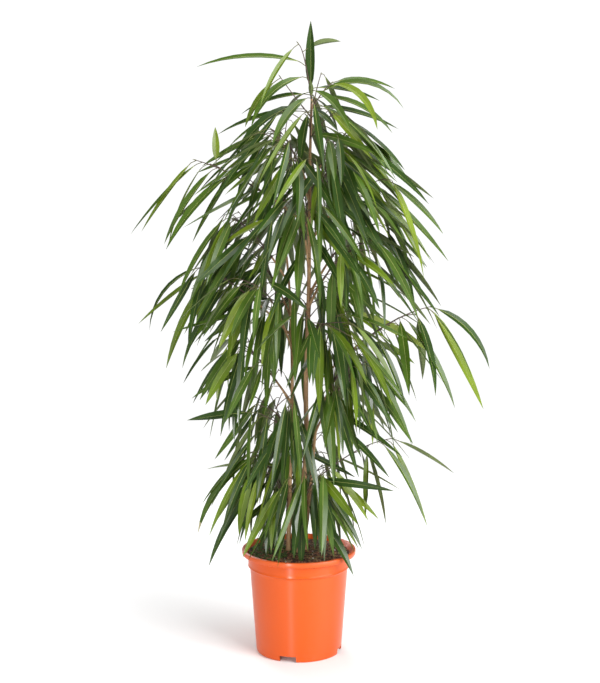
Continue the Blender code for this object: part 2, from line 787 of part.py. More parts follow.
def build_limbs(parts, material, lines, guards):
    """The boughs, and the main twig that runs on from each bough's tip or from the stem."""
    stems = {stem.name: stem for stem in STEMS}
    twigs = {}
    for spray in SPRAYS:
        place = arch_line(place_at(lines[spray.stem], spray.height), spray)
        root = min(BOUGH_ROOT_RADIUS, stem_radius(stems[spray.stem], spray.height) * BOUGH_SHARE)
        if spray.bare:
            line = [place(spray.bare * k / BOUGH_STEPS) for k in range(BOUGH_STEPS + 1)]
            radii = [root + (BOUGH_TIP_RADIUS - root) * k / BOUGH_STEPS
                     for k in range(BOUGH_STEPS + 1)]
            mesh = tube_mesh("bough_" + spray.name, line, radii, BOUGH_SIDES)
            bough = add_object("bough_" + spray.name, mesh, parts, material)
            cut_clear(bough, guards[spray.stem])
            root = BOUGH_TIP_RADIUS
        line = [place(spray.bare + (1 - spray.bare) * k / TWIG_STEPS)
                for k in range(TWIG_STEPS + 1)]
        if spray.bare:
            line[0] = line[0] + (line[1] - line[0]).normalized() * CLEARANCE
        twigs[spray.name] = (line, root)
    return twigs


def cut_clear(limb, guard):
    """Cut a limb's root to the stem's round side, just clear of it."""
    cutter = bpy.data.objects.new("guard", guard)
    bpy.context.scene.collection.objects.link(cutter)
    fit_boolean(limb, "DIFFERENCE", "EXACT", other=cutter)
    bpy.data.objects.remove(cutter, do_unlink=True)
    drop_scraps(limb.data)


def build_foliage(parts, cutters, material, guards, twigs):
    """The masses: each claims its space, then they grow by turns and are fused."""
    bpy.context.view_layer.update()
    solids = [bvh(evaluated_mesh(thing)) for thing in parts.objects]
    space = Space()
    masses = []
    for spray in SPRAYS:
        line, radius = twigs[spray.name]
        space.claim(spray, line)
        mass = Mass(spray, line, radius)
        if not spray.bare:
            mass.trim_root(cutters, guards[spray.stem])
        masses.append(mass)
    for step in (Mass.add_accents, Mass.add_side_twigs, Mass.add_leaves):
        for mass in masses:
            others = [tree for other in masses if other is not mass for tree in other.trees]
            step(mass, space, solids + others)
    for mass in masses:
        mass.fuse(parts, material)


def main():
    """Build the potted plant."""
    clear_scene()
    parts = new_collection(NAME)
    cutters = new_collection(NAME + "_cutters")
    bark = new_material("bark", BARK_FINISH)
    build_pot(parts, cutters, new_material("pot_orange", POT_FINISH))
    build_soil(parts, new_material("potting_soil", SOIL_FINISH))
    lines, guards = build_stems(parts, bark)
    twigs = build_limbs(parts, bark, lines, guards)
    build_foliage(parts, cutters, new_material("leaf_green", LEAF_FINISH), guards, twigs)


if __name__ == "__main__":
    main()
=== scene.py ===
"""A potted narrow-leaf fig, finished: bark, twigs, leaves, the turned pot and its soil.

Metres, +Z up, and -Y is the front. The stems, boughs and masses keep the places and sizes of
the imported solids. Each mass is grown again by the same rule, carried on to finer twigs, true
petioles and thin folded leaves, and stays within the box of the solid that it replaces.
"""

import logging
import math
import random
from dataclasses import dataclass
from enum import Enum
from typing import Any, Callable, Iterator, Sequence, Union

import bmesh
import bpy
import numpy as np
from bpy.types import Material, Mesh, Node, NodeSocket, Object
from mathutils import Matrix, Vector, noise
from mathutils.bvhtree import BVHTree


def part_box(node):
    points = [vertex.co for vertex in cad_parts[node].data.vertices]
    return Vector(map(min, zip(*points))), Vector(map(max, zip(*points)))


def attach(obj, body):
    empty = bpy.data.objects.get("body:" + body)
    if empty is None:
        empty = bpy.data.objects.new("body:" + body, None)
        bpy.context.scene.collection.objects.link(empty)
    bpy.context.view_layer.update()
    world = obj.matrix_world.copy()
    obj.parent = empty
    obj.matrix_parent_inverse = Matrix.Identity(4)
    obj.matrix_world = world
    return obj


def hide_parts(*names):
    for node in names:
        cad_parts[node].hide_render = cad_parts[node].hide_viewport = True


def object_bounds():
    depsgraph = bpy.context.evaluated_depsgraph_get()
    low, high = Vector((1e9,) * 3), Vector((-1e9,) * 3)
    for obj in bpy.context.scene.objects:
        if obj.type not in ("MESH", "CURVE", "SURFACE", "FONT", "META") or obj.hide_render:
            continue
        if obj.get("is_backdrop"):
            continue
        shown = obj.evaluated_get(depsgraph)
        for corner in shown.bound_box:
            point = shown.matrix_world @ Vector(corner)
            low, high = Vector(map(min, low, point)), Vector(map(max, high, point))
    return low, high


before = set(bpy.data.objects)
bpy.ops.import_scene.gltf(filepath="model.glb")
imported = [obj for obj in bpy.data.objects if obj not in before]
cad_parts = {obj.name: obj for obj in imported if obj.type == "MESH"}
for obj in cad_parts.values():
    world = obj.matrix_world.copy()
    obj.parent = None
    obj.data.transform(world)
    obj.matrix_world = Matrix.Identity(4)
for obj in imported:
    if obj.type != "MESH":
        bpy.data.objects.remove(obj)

log = logging.getLogger("narrow_leaf_fig")

Colour = tuple[float, float, float]
Number = Union[int, float]
Range = tuple[float, float]

BODY = "root"
SEED = 2124
TINY = 1e-6
GREEN_CREASE = math.radians(20)


# ---------------------------------------------------------------- shader maths

class Signal:
    """A shader value that takes part in Python sums."""

    def __init__(self, paint: "Paint", socket: NodeSocket) -> None:
        """Wrap an output socket of a paint's node tree."""
        self.paint = paint
        self.socket = socket

    def _math(self, operation: str, *terms: "Term") -> "Signal":
        """Add one Math node over the given terms."""
        return self.paint.add("ShaderNodeMath", {"operation": operation},
                              dict(enumerate(terms)))

    def __add__(self, other: "Term") -> "Signal":
        """This value plus another."""
        return self._math("ADD", self, other)

    def __radd__(self, other: "Term") -> "Signal":
        """A number plus this value."""
        return self._math("ADD", other, self)

    def __rsub__(self, other: "Term") -> "Signal":
        """A number less this value."""
        return self._math("SUBTRACT", other, self)

    def __mul__(self, other: "Term") -> "Signal":
        """This value times another."""
        return self._math("MULTIPLY", self, other)

    def __rmul__(self, other: "Term") -> "Signal":
        """A number times this value."""
        return self._math("MULTIPLY", other, self)

    def above(self, edge: float, soft: float) -> "Signal":
        """How far this value is past an edge, from 0 to 1 over a soft band.

        Args:
            edge: The value at the middle of the band.
            soft: The width of the band.

        Returns:
            0 below the band, 1 above it.
        """
        return self.paint.add("ShaderNodeMapRange", {"interpolation_type": "SMOOTHSTEP"}, {
            "Value": self, "From Min": edge - soft / 2, "From Max": edge + soft / 2})


Term = Union[Signal, Number]


class Paint:
    """One material's node tree, and the ways to add to it."""

    def __init__(self, name: str, roughness: float, **constants: float) -> None:
        """Start a material.

        Args:
            name: The material's name.
            roughness: The shader's roughness where nothing else sets it.
            **constants: Other sockets of the shader, with spaces as underscores.
        """
        self.material: Material = bpy.data.materials.new(name)
        self.material.use_nodes = True
        self.tree = self.material.node_tree
        self.shader: Node = self.tree.nodes["Principled BSDF"]
        self.shader.inputs["Roughness"].default_value = roughness
        for socket, value in constants.items():
            self.shader.inputs[socket.replace("_", " ")].default_value = value

    def add(self, kind: str, settings: dict[str, Any], sockets: dict[Any, Any],
            output: Union[int, str] = 0) -> Signal:
        """Add one node.

        Args:
            kind: The node's type.
            settings: Its own settings, which are set first.
            sockets: Values or signals of its inputs, by name or number.
            output: Which output to return.

        Returns:
            The output as a signal.
        """
        node = self.tree.nodes.new(kind)
        for name, value in settings.items():
            setattr(node, name, value)
        for name, value in sockets.items():
            if isinstance(value, Signal):
                self.tree.links.new(value.socket, node.inputs[name])
            elif isinstance(value, tuple) and len(value) == 3 and (
                    node.inputs[name].type == "RGBA"):
                node.inputs[name].default_value = (*value, 1.0)
            else:
                node.inputs[name].default_value = value
        return Signal(self, node.outputs[output])

    def place(self) -> Signal:
        """Object coordinates."""
        return self.add("ShaderNodeTexCoord", {}, {}, "Object")

    def axis(self, name: str) -> Signal:
        """One of the object coordinates, X, Y or Z."""
        return self.add("ShaderNodeSeparateXYZ", {}, {0: self.place()}, name)

    def grain(self, scale: float, detail: float = 2.0,
              stretch: tuple[float, float, float] = (1.0, 1.0, 1.0)) -> Signal:
        """Noise over the object.

        Args:
            scale: Waves to the metre.
            detail: How many finer waves lie on it.
            stretch: How the coordinates are scaled first.

        Returns:
            The noise, from 0 to 1.
        """
        where = self.add("ShaderNodeMapping", {}, {"Vector": self.place(), "Scale": stretch})
        return self.add("ShaderNodeTexNoise", {}, {
            "Vector": where, "Scale": scale, "Detail": detail})

    def cells(self, scale: float,
              stretch: tuple[float, float, float] = (1.0, 1.0, 1.0)) -> Signal:
        """Distances to the middles of Voronoi cells over the object."""
        where = self.add("ShaderNodeMapping", {}, {"Vector": self.place(), "Scale": stretch})
        return self.add("ShaderNodeTexVoronoi", {}, {"Vector": where, "Scale": scale})

    def blend(self, share: Term, low: Union[Colour, Signal],
              high: Union[Colour, Signal]) -> Signal:
        """A mix of two colours by a share from 0 to 1."""
        return self.add("ShaderNodeMix", {"data_type": "RGBA"}, {
            0: share, 6: low, 7: high}, 2)

    def colour(self, value: Union[Colour, Signal]) -> None:
        """Give the shader its base colour."""
        self._feed("Base Color", value)

    def roughness(self, value: Signal) -> None:
        """Give the shader a roughness that changes over the surface."""
        self._feed("Roughness", value)

    def bump(self, height: Signal, depth: float, strength: float) -> None:
        """Raise the surface by a height.

        Args:
            height: What to raise it by, as a share of the depth.
            depth: The depth of the relief in metres.
            strength: How much of it shows.
        """
        relief = self.add("ShaderNodeBump", {}, {
            "Height": height, "Distance": depth, "Strength": strength})
        self._feed("Normal", relief)

    def _feed(self, name: str, value: Union[Colour, Signal]) -> None:
        """Link or set one socket of the shader."""
        socket = self.shader.inputs[name]
        if isinstance(value, Signal):
            self.tree.links.new(value.socket, socket)
        else:
            socket.default_value = (*value, 1.0)


# ---------------------------------------------------------------- finishes

@dataclass(frozen=True)
class LeafFinish:
    """A leathery leaf surface in one plain colour that wanders a little."""

    name: str
    colour: Colour
    roughness: float
    wander: float = 0.22            # how much darker and lighter the colour gets
    drift: float = 17.0             # waves to the metre of the colour,
    gloss: float = 60.0             # of the gloss
    dimples: float = 50.0           # and of the relief
    depth: float = 0.0003

    def material(self) -> Material:
        """Build the material."""
        paint = Paint(self.name, self.roughness, Specular_IOR_Level=0.44)
        darker = tuple(c * (1.0 - self.wander) for c in self.colour)
        lighter = tuple(min(c * (1.0 + self.wander), 1.0) for c in self.colour)
        paint.colour(paint.blend(paint.grain(self.drift, 3.0).above(0.5, 0.5), darker, lighter))
        paint.roughness(self.roughness - 0.05 + 0.12 * paint.grain(self.gloss))
        paint.bump(paint.grain(self.dimples, 1.0), self.depth, 0.25)
        return paint.material


@dataclass(frozen=True)
class BarkFinish:
    """Thin bark with lighter streaks, lenticels and a dusty film."""

    name: str
    colour: Colour
    streak: Colour
    speck: Colour
    roughness: float = 0.78
    streaks: float = 160.0          # waves to the metre round the stem,
    streak_stretch: float = 0.12    # and how many of them there are along it
    film: float = 22.0
    pores: float = 430.0
    pore_stretch: float = 0.45
    depth: float = 0.0006

    def material(self) -> Material:
        """Build the material."""
        paint = Paint(self.name, self.roughness)
        streaks = paint.grain(self.streaks, 4.0, (1.0, 1.0, self.streak_stretch))
        film = paint.grain(self.film, 3.0)
        pores = paint.cells(self.pores, (1.0, 1.0, self.pore_stretch))
        base = paint.blend(streaks.above(0.52, 0.35), self.colour, self.streak)
        base = paint.blend(0.45 * film.above(0.55, 0.3), base, self.streak)
        paint.colour(paint.blend(0.8 * (1 - pores.above(0.16, 0.12)), base, self.speck))
        paint.roughness(self.roughness - 0.1 + 0.2 * streaks)
        paint.bump(streaks + 0.6 * (1 - pores.above(0.2, 0.2)), self.depth, 0.8)
        return paint.material


@dataclass(frozen=True)
class PlasticFinish:
    """Moulded plastic: a soft gloss, and a rim painted lighter, as painted light shining through
    where the plastic is thin.
    """

    name: str
    colour: Colour
    thin: Colour
    dust: Colour
    rim_height: float
    rim_fade: float
    foot_height: float = 0.02       # where splashes of soil end over the foot
    foot_fade: float = 0.03
    roughness: float = 0.32
    cloud: float = 9.0              # waves to the metre of the colour,
    splash: float = 70.0            # of the soil on the foot
    ripple: float = 26.0            # and of the relief
    depth: float = 0.0006

    def material(self) -> Material:
        """Build the material."""
        paint = Paint(self.name, self.roughness, Specular_IOR_Level=0.42, Anisotropic=0.85,
                      Anisotropic_Rotation=0.25)
        height = paint.axis("Z")
        cloud = paint.grain(self.cloud, 3.0)
        base = paint.blend(0.5 * cloud.above(0.5, 0.5), self.colour,
                           tuple(c * 0.93 for c in self.colour))
        # painted light: above rim_height the colour turns towards the lighter colour thin, a
        # painted glow of light through the thin rim
        base = paint.blend(0.35 * height.above(self.rim_height, self.rim_fade), base, self.thin)
        soiled = paint.grain(self.splash, 4.0).above(0.66, 0.2) * (
            1 - height.above(self.foot_height, self.foot_fade))
        paint.colour(paint.blend(0.20 * soiled, base, self.dust))
        paint.roughness(self.roughness - 0.04 + 0.1 * cloud + 0.25 * soiled)
        paint.bump(paint.grain(self.ripple, 1.0, (1.0, 1.0, 0.25)), self.depth, 0.4)
        return paint.material


@dataclass(frozen=True)
class CrumbFinish:
    """A crumbly matter such as soil, bark chips, moss or white grains."""

    name: str
    dark: Colour
    light: Colour
    scale: float                    # waves to the metre of its clods
    crumbs: float = 2.2             # and how many crumbs there are to each
    roughness: float = 0.92
    depth: float = 0.0015

    def material(self) -> Material:
        """Build the material."""
        paint = Paint(self.name, self.roughness)
        clods = paint.grain(self.scale, 5.0)
        crumbs = paint.cells(self.scale * self.crumbs)
        paint.colour(paint.blend(clods.above(0.52, 0.25), self.dark, self.light))
        paint.roughness(self.roughness - 0.12 + 0.16 * crumbs)
        paint.bump(clods + 0.5 * crumbs, self.depth, 0.9)
        return paint.material


class Shade(Enum):
    """The colours that leaves are dealt: old dark ones, grown ones and new ones. The darkest is
    partly painted shade, and the lighter grown ones are partly painted light shining through a
    leaf.
    """

    # DEEP is partly painted shade; SAP and FRESH are partly painted light shining through the
    # leaf
    DEEP = LeafFinish("leaf_deep", (0.026, 0.062, 0.006), 0.29)
    MID = LeafFinish("leaf_mid", (0.054, 0.107, 0.008), 0.31)
    SAP = LeafFinish("leaf_sap", (0.102, 0.164, 0.006), 0.33)
    FRESH = LeafFinish("leaf_fresh", (0.145, 0.210, 0.010), 0.35)
    YOUNG = LeafFinish("leaf_young", (0.215, 0.275, 0.040), 0.42)
    UNDER = LeafFinish("leaf_underside", (0.120, 0.160, 0.050), 0.50)
    DRY = LeafFinish("leaf_dry_tip", (0.440, 0.400, 0.220), 0.7)


RIB_FINISH = LeafFinish("leaf_rib", (0.290, 0.330, 0.090), 0.45)
STALK_FINISH = LeafFinish("leaf_stalk", (0.130, 0.125, 0.045), 0.50)
TWIG_FINISH = BarkFinish("twig_bark", (0.060, 0.034, 0.028), (0.105, 0.066, 0.044),
                         (0.200, 0.150, 0.100), 0.6)
SHOOT_FINISH = LeafFinish("green_shoot", (0.120, 0.120, 0.045), 0.45)
STEM_FINISH = BarkFinish("stem_bark", (0.225, 0.120, 0.056), (0.430, 0.270, 0.130),
                         (0.540, 0.430, 0.300))
POT_FINISH = PlasticFinish("pot_orange", (0.630, 0.085, 0.004), (0.700, 0.142, 0.050),
                           (0.300, 0.100, 0.035), 0.188, 0.008)
SOIL_FINISH = CrumbFinish("potting_soil", (0.022, 0.008, 0.004), (0.098, 0.040, 0.020), 190.0)
CHIP_FINISH = CrumbFinish("bark_chips", (0.105, 0.040, 0.018), (0.310, 0.150, 0.078), 240.0)
GRAIN_FINISH = CrumbFinish("white_grains", (0.520, 0.500, 0.460), (0.720, 0.700, 0.660), 500.0)
MOSS_FINISH = CrumbFinish("moss", (0.022, 0.045, 0.006), (0.095, 0.145, 0.024), 420.0)
FIBRE_FINISH = CrumbFinish("root_fibres", (0.150, 0.135, 0.045), (0.380, 0.370, 0.150), 300.0)


# ---------------------------------------------------------------- meshes and objects

def mesh_of(name: str, work: bmesh.types.BMesh) -> Mesh:
    """A mesh made from a bmesh, which is freed."""
    mesh = bpy.data.meshes.new(name)
    work.to_mesh(mesh)
    work.free()
    return mesh


def place_object(name: str, data: Any) -> Object:
    """A new object of the scene that shows a mesh, a lamp or a camera."""
    thing = bpy.data.objects.new(name, data)
    bpy.context.scene.collection.objects.link(thing)
    return thing


def finish_piece(name: str, work: bmesh.types.BMesh, materials: Sequence[Material],
                 crease: float, body: str, nodes: Sequence[str]) -> Object:
    """Turn a bmesh into a finished piece of the plant.

    Args:
        name: The piece's name.
        work: Its mesh, which is freed.
        materials: Its materials, by slot.
        crease: Edges that turn more than this stay sharp.
        body: The body that it rides on.
        nodes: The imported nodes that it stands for.

    Returns:
        The piece.
    """
    mesh = mesh_of(name, work)
    for material in materials:
        mesh.materials.append(material)
    mesh.set_sharp_from_angle(angle=crease)
    piece = place_object(name, mesh)
    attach(piece, body)
    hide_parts(*nodes)
    mesh.calc_loop_triangles()
    log.info("%s: %d triangles, stands for %d nodes", name, len(mesh.loop_triangles),
             len(nodes))
    return piece


def spun(section: Sequence[tuple[float, float]], steps: int) -> bmesh.types.BMesh:
    """Turn a section once round the Z axis.

    Args:
        section: Its points, each as a radius and a height.
        steps: How many faces it gets round it.

    Returns:
        The turned surface.
    """
    work = bmesh.new()
    points = [work.verts.new((x, 0.0, z)) for x, z in section]
    edges = [work.edges.new(pair) for pair in zip(points, points[1:])]
    bmesh.ops.spin(work, geom=points + edges, cent=(0, 0, 0), axis=(0, 0, 1),
                   angle=2 * math.pi, steps=steps, use_merge=True)
    bmesh.ops.remove_doubles(work, verts=work.verts, dist=TINY)
    return work


# ---------------------------------------------------------------- lines and rods

def level_side(ahead: Vector) -> Vector:
    """The level direction to the right of a way ahead."""
    side = ahead.cross(Vector((0.0, 0.0, 1.0)))
    return side.normalized() if side.length > TINY else Vector((1.0, 0.0, 0.0))


def level_way(heading: float) -> Vector:
    """The level direction at a heading in radians."""
    return Vector((math.cos(heading), math.sin(heading), 0.0))


def slope_of(way: Vector) -> float:
    """How far above level a direction points, in radians."""
    return math.asin(max(-1.0, min(1.0, way.z)))


@dataclass
class Spot:
    """A place on a line, with the directions to its side, above it and along it."""

    place: Vector
    side: Vector
    above: Vector
    ahead: Vector


class Line:
    """A smooth path with a frame that doesn't spin along it."""

    def __init__(self, points: Sequence[Vector]) -> None:
        """Measure a path and carry a frame along it."""
        self.points = [Vector(p) for p in points]
        ways = [(b - a).normalized() for a, b in zip(self.points, self.points[1:])]
        ways.append(ways[-1])
        side = level_side(ways[0])
        self.spots: list[Spot] = []
        for place, ahead in zip(self.points, ways):
            side = (side - ahead * side.dot(ahead)).normalized()
            self.spots.append(Spot(place, side, side.cross(ahead), ahead))
        steps = [(b - a).length for a, b in zip(self.points, self.points[1:])]
        self.length = sum(steps)

    def at(self, share: float) -> Spot:
        """The spot at a share of the way, counted in even steps of its points.

        Args:
            share: 0 at the root, 1 at the tip.

        Returns:
            The spot, between the two nearest points.
        """
        way = min(max(share, 0.0), 1.0) * (len(self.points) - 1)
        k = min(int(way), len(self.points) - 2)
        low, high, t = self.spots[k], self.spots[k + 1], way - k
        return Spot(low.place.lerp(high.place, t), low.side.lerp(high.side, t).normalized(),
                    low.above.lerp(high.above, t).normalized(),
                    low.ahead.lerp(high.ahead, t).normalized())


def smooth_points(points: Sequence[Sequence[float]], count: int) -> list[Vector]:
    """Even steps of a Catmull-Rom curve through points.

    Args:
        points: The points that it passes.
        count: How many steps to take.

    Returns:
        The points of the curve, one more than the steps.
    """
    way = [Vector(p) for p in points]
    way = [2 * way[0] - way[1]] + way + [2 * way[-1] - way[-2]]
    spans = len(way) - 3
    curve = []
    for k in range(count + 1):
        i = min(int(spans * k / count), spans - 1)
        t = spans * k / count - i
        a, b, c, d = way[i:i + 4]
        curve.append(0.5 * (2 * b + (c - a) * t + (2 * a - 5 * b + 4 * c - d) * t ** 2
                            + (3 * b - 3 * c + d - a) * t ** 3))
    return curve


@dataclass(frozen=True)
class Bend:
    """How a line's slope changes: to a knee first, then more gently to its tip, in radians."""

    slope: float
    knee_slope: float
    end_slope: float
    knee: float = 0.0       # share of the way where the knee is

    def at(self, share: float) -> float:
        """The slope above level at a share of the way."""
        if share < self.knee:
            return self.slope + (self.knee_slope - self.slope) * share / self.knee
        past = (share - self.knee) / (1.0 - self.knee)
        return self.knee_slope + (self.end_slope - self.knee_slope) * past


def even_bend(slope: float, end_slope: float) -> Bend:
    """A bend without a knee."""
    return Bend(slope, slope, end_slope)


def bent_points(start: Vector, heading: float, bend: Bend, length: float, count: int,
                sway: float = 0.0) -> list[Vector]:
    """Points of a line that bends downwards on its way.

    Args:
        start: Where it starts.
        heading: Its level direction in radians.
        bend: Its slope along the way.
        length: Its whole length.
        count: How many steps to take.
        sway: How far it turns aside on its way, in radians.

    Returns:
        The points, one more than the steps.
    """
    point = Vector(start)
    points = [point.copy()]
    for k in range(count):
        share = (k + 0.5) / count
        tilt = bend.at(share)
        flat = level_way(heading + sway * share)
        point = point + (flat * math.cos(tilt) + Vector((0.0, 0.0, math.sin(tilt)))) * (
            length / count)
        points.append(point.copy())
    return points


class Rod:
    """A round prism of unit size that is laid along lines as limbs, twigs and ribs."""

    def __init__(self, sides: int, rows: int) -> None:
        """Make the prism.

        Args:
            sides: How many faces it has round it.
            rows: How many it has along it.
        """
        work = bmesh.new()
        bmesh.ops.create_cone(work, cap_ends=True, segments=sides, radius1=1.0, radius2=1.0,
                              depth=1.0)
        bmesh.ops.translate(work, verts=work.verts, vec=(0.0, 0.0, 0.5))
        uprights = [e for e in work.edges if abs(e.verts[0].co.z - e.verts[1].co.z) > 0.5]
        bmesh.ops.subdivide_edges(work, edges=uprights, cuts=rows - 1)
        for face in work.faces:
            face.smooth = len(face.verts) == 4
        self.mesh = mesh_of("rod", work)

    def lay(self, work: bmesh.types.BMesh, line: Line,
            radius: Callable[[float, float], float], slot: int = 0) -> None:
        """Lay a copy of the prism along a line.

        Args:
            work: The mesh that it is added to.
            line: The line that it follows.
            radius: Its radius, from the share of the way and the angle round it.
            slot: Its material slot.
        """
        first, first_face = len(work.verts), len(work.faces)
        work.from_mesh(self.mesh)
        work.verts.ensure_lookup_table()
        work.faces.ensure_lookup_table()
        spots: dict[int, Spot] = {}
        for vert in work.verts[first:]:
            share = vert.co.z
            key = round(share * 10000)
            if key not in spots:
                spots[key] = line.at(share)
            spot = spots[key]
            angle = math.atan2(vert.co.y, vert.co.x)
            size = radius(share, angle)
            vert.co = spot.place + (spot.side * math.cos(angle)
                                    + spot.above * math.sin(angle)) * size
        for face in work.faces[first_face:]:
            face.material_index = slot


# ---------------------------------------------------------------- the plant's sizes

@dataclass(frozen=True)
class Stem:
    """A stem: the points it passes from its foot to its tip, and its two end radii."""

    name: str
    points: tuple[tuple[float, float, float], ...]
    foot_radius: float
    tip_radius: float


@dataclass(frozen=True)
class Spray:
    """A bough and the mass of foliage that it carries, as one arching line from its stem."""

    name: str
    stem: str
    height: float           # where it leaves the stem
    heading: float          # degrees, 0 to the right (+X), 270 to the front (-Y)
    rise: float             # degrees above level at the stem
    reach: float            # how far out the main twig's tip is
    end_height: float       # and how high
    bare: float             # share of the line that is bare bough; 0 without a bough
    leaves: int             # leaves of its solid

    @property
    def zone(self) -> str:
        """The tier of the plant that it belongs to."""
        return self.name.split("_")[0]


@dataclass(frozen=True)
class Accent:
    """A leaf with a place of its own, one of those that give the plant its outline."""

    share: float            # place along its mass's main twig
    heading: float          # degrees, as a spray's
    slope: float            # degrees above level where it sets off
    end_slope: float        # and at its tip
    length: float
    roll: float
    lift: float             # how much steeper the petiole sets off
    arch: float             # how far the blade bends either way of its middle slope
    breadth: float
    shade: Shade
    dry: float = 0.0        # share of the blade at its tip that is dry
    petiole: float = 0.016


STEMS = (
    Stem("stem_main", ((-0.004, -0.003, 0.0), (-0.004, -0.003, 0.205), (0.005, -0.002, 0.283),
                       (0.014, 0.000, 0.380), (0.013, 0.001, 0.490), (0.018, 0.000, 0.672),
                       (0.020, 0.000, 0.896), (0.023, 0.000, 1.012)), 0.0055, 0.0022),
    Stem("stem_left", ((-0.019, 0.006, 0.0), (-0.019, 0.006, 0.205), (-0.016, 0.012, 0.330),
                       (-0.012, 0.020, 0.500), (-0.016, 0.026, 0.650), (-0.022, 0.030, 0.730)),
         0.0045, 0.0020),
    Stem("stem_right", ((0.011, 0.012, 0.0), (0.011, 0.012, 0.205), (0.022, 0.006, 0.320),
                        (0.034, -0.004, 0.450), (0.044, -0.010, 0.545)), 0.0042, 0.0018),
)

SPRAYS = (
    Spray("crest_top", "stem_main", 1.008, 190, 82, 0.024, 1.108, 0, 4),
    Spray("crest_right", "stem_main", 0.992, 8, 62, 0.050, 1.046, 0, 6),
    Spray("crest_left", "stem_main", 0.980, 176, 50, 0.056, 1.052, 0, 4),
    Spray("crest_front", "stem_main", 0.940, 272, 58, 0.040, 1.005, 0, 7),
    Spray("crest_back", "stem_main", 0.950, 86, 58, 0.045, 1.020, 0, 7),
    Spray("leader_left", "stem_left", 0.729, 105, 78, 0.025, 0.850, 0, 9),
    Spray("leader_right", "stem_right", 0.544, 330, 78, 0.025, 0.665, 0, 9),

    Spray("upper_right", "stem_main", 0.860, 346, 61, 0.070, 0.955, 0.28, 14),
    Spray("upper_back_left", "stem_main", 0.850, 132, 61, 0.085, 0.960, 0.28, 14),
    Spray("upper_front_left", "stem_main", 0.830, 226, 63, 0.075, 0.940, 0.28, 14),
    Spray("upper_back_right", "stem_main", 0.815, 46, 59, 0.090, 0.925, 0.30, 14),
    Spray("upper_front_right", "stem_main", 0.795, 296, 63, 0.080, 0.905, 0.28, 14),
    Spray("upper_left", "stem_main", 0.785, 181, 40, 0.205, 0.905, 0.36, 8),

    Spray("high_back", "stem_main", 0.745, 96, 61, 0.110, 0.860, 0.30, 14),
    Spray("high_right", "stem_main", 0.755, 10, 57, 0.115, 0.860, 0.30, 15),
    Spray("high_front", "stem_main", 0.705, 258, 65, 0.100, 0.825, 0.30, 14),
    Spray("high_left", "stem_left", 0.680, 194, 59, 0.100, 0.800, 0.30, 15),
    Spray("high_back_right", "stem_main", 0.660, 30, 59, 0.130, 0.780, 0.32, 14),
    Spray("high_front_right", "stem_main", 0.640, 318, 59, 0.110, 0.750, 0.32, 15),

    Spray("middle_back_left", "stem_left", 0.620, 136, 59, 0.115, 0.740, 0.30, 14),
    Spray("middle_left", "stem_left", 0.585, 172, 46, 0.165, 0.710, 0.34, 14),
    Spray("middle_front_left", "stem_left", 0.560, 238, 61, 0.115, 0.685, 0.32, 15),
    Spray("middle_back", "stem_main", 0.545, 84, 59, 0.130, 0.670, 0.32, 14),
    Spray("middle_right", "stem_right", 0.510, 2, 46, 0.200, 0.642, 0.34, 14),
    Spray("middle_front", "stem_main", 0.510, 288, 65, 0.105, 0.620, 0.30, 14),

    Spray("lower_left", "stem_left", 0.460, 190, 57, 0.090, 0.575, 0.30, 14),
    Spray("lower_back_right", "stem_right", 0.440, 44, 57, 0.100, 0.555, 0.30, 14),
    Spray("lower_front_right", "stem_right", 0.410, 316, 61, 0.088, 0.525, 0.30, 14),
    Spray("lower_back_left", "stem_left", 0.380, 128, 59, 0.095, 0.500, 0, 14),
    Spray("lower_front_left", "stem_left", 0.360, 246, 63, 0.080, 0.475, 0, 14),
    Spray("base_right", "stem_right", 0.310, 356, 44, 0.152, 0.400, 0, 10),
    Spray("base_back", "stem_main", 0.300, 82, 61, 0.080, 0.405, 0, 14),
    Spray("base_left", "stem_left", 0.275, 188, 61, 0.055, 0.372, 0, 14),
    Spray("base_front", "stem_main", 0.255, 290, 63, 0.065, 0.355, 0, 14),
)
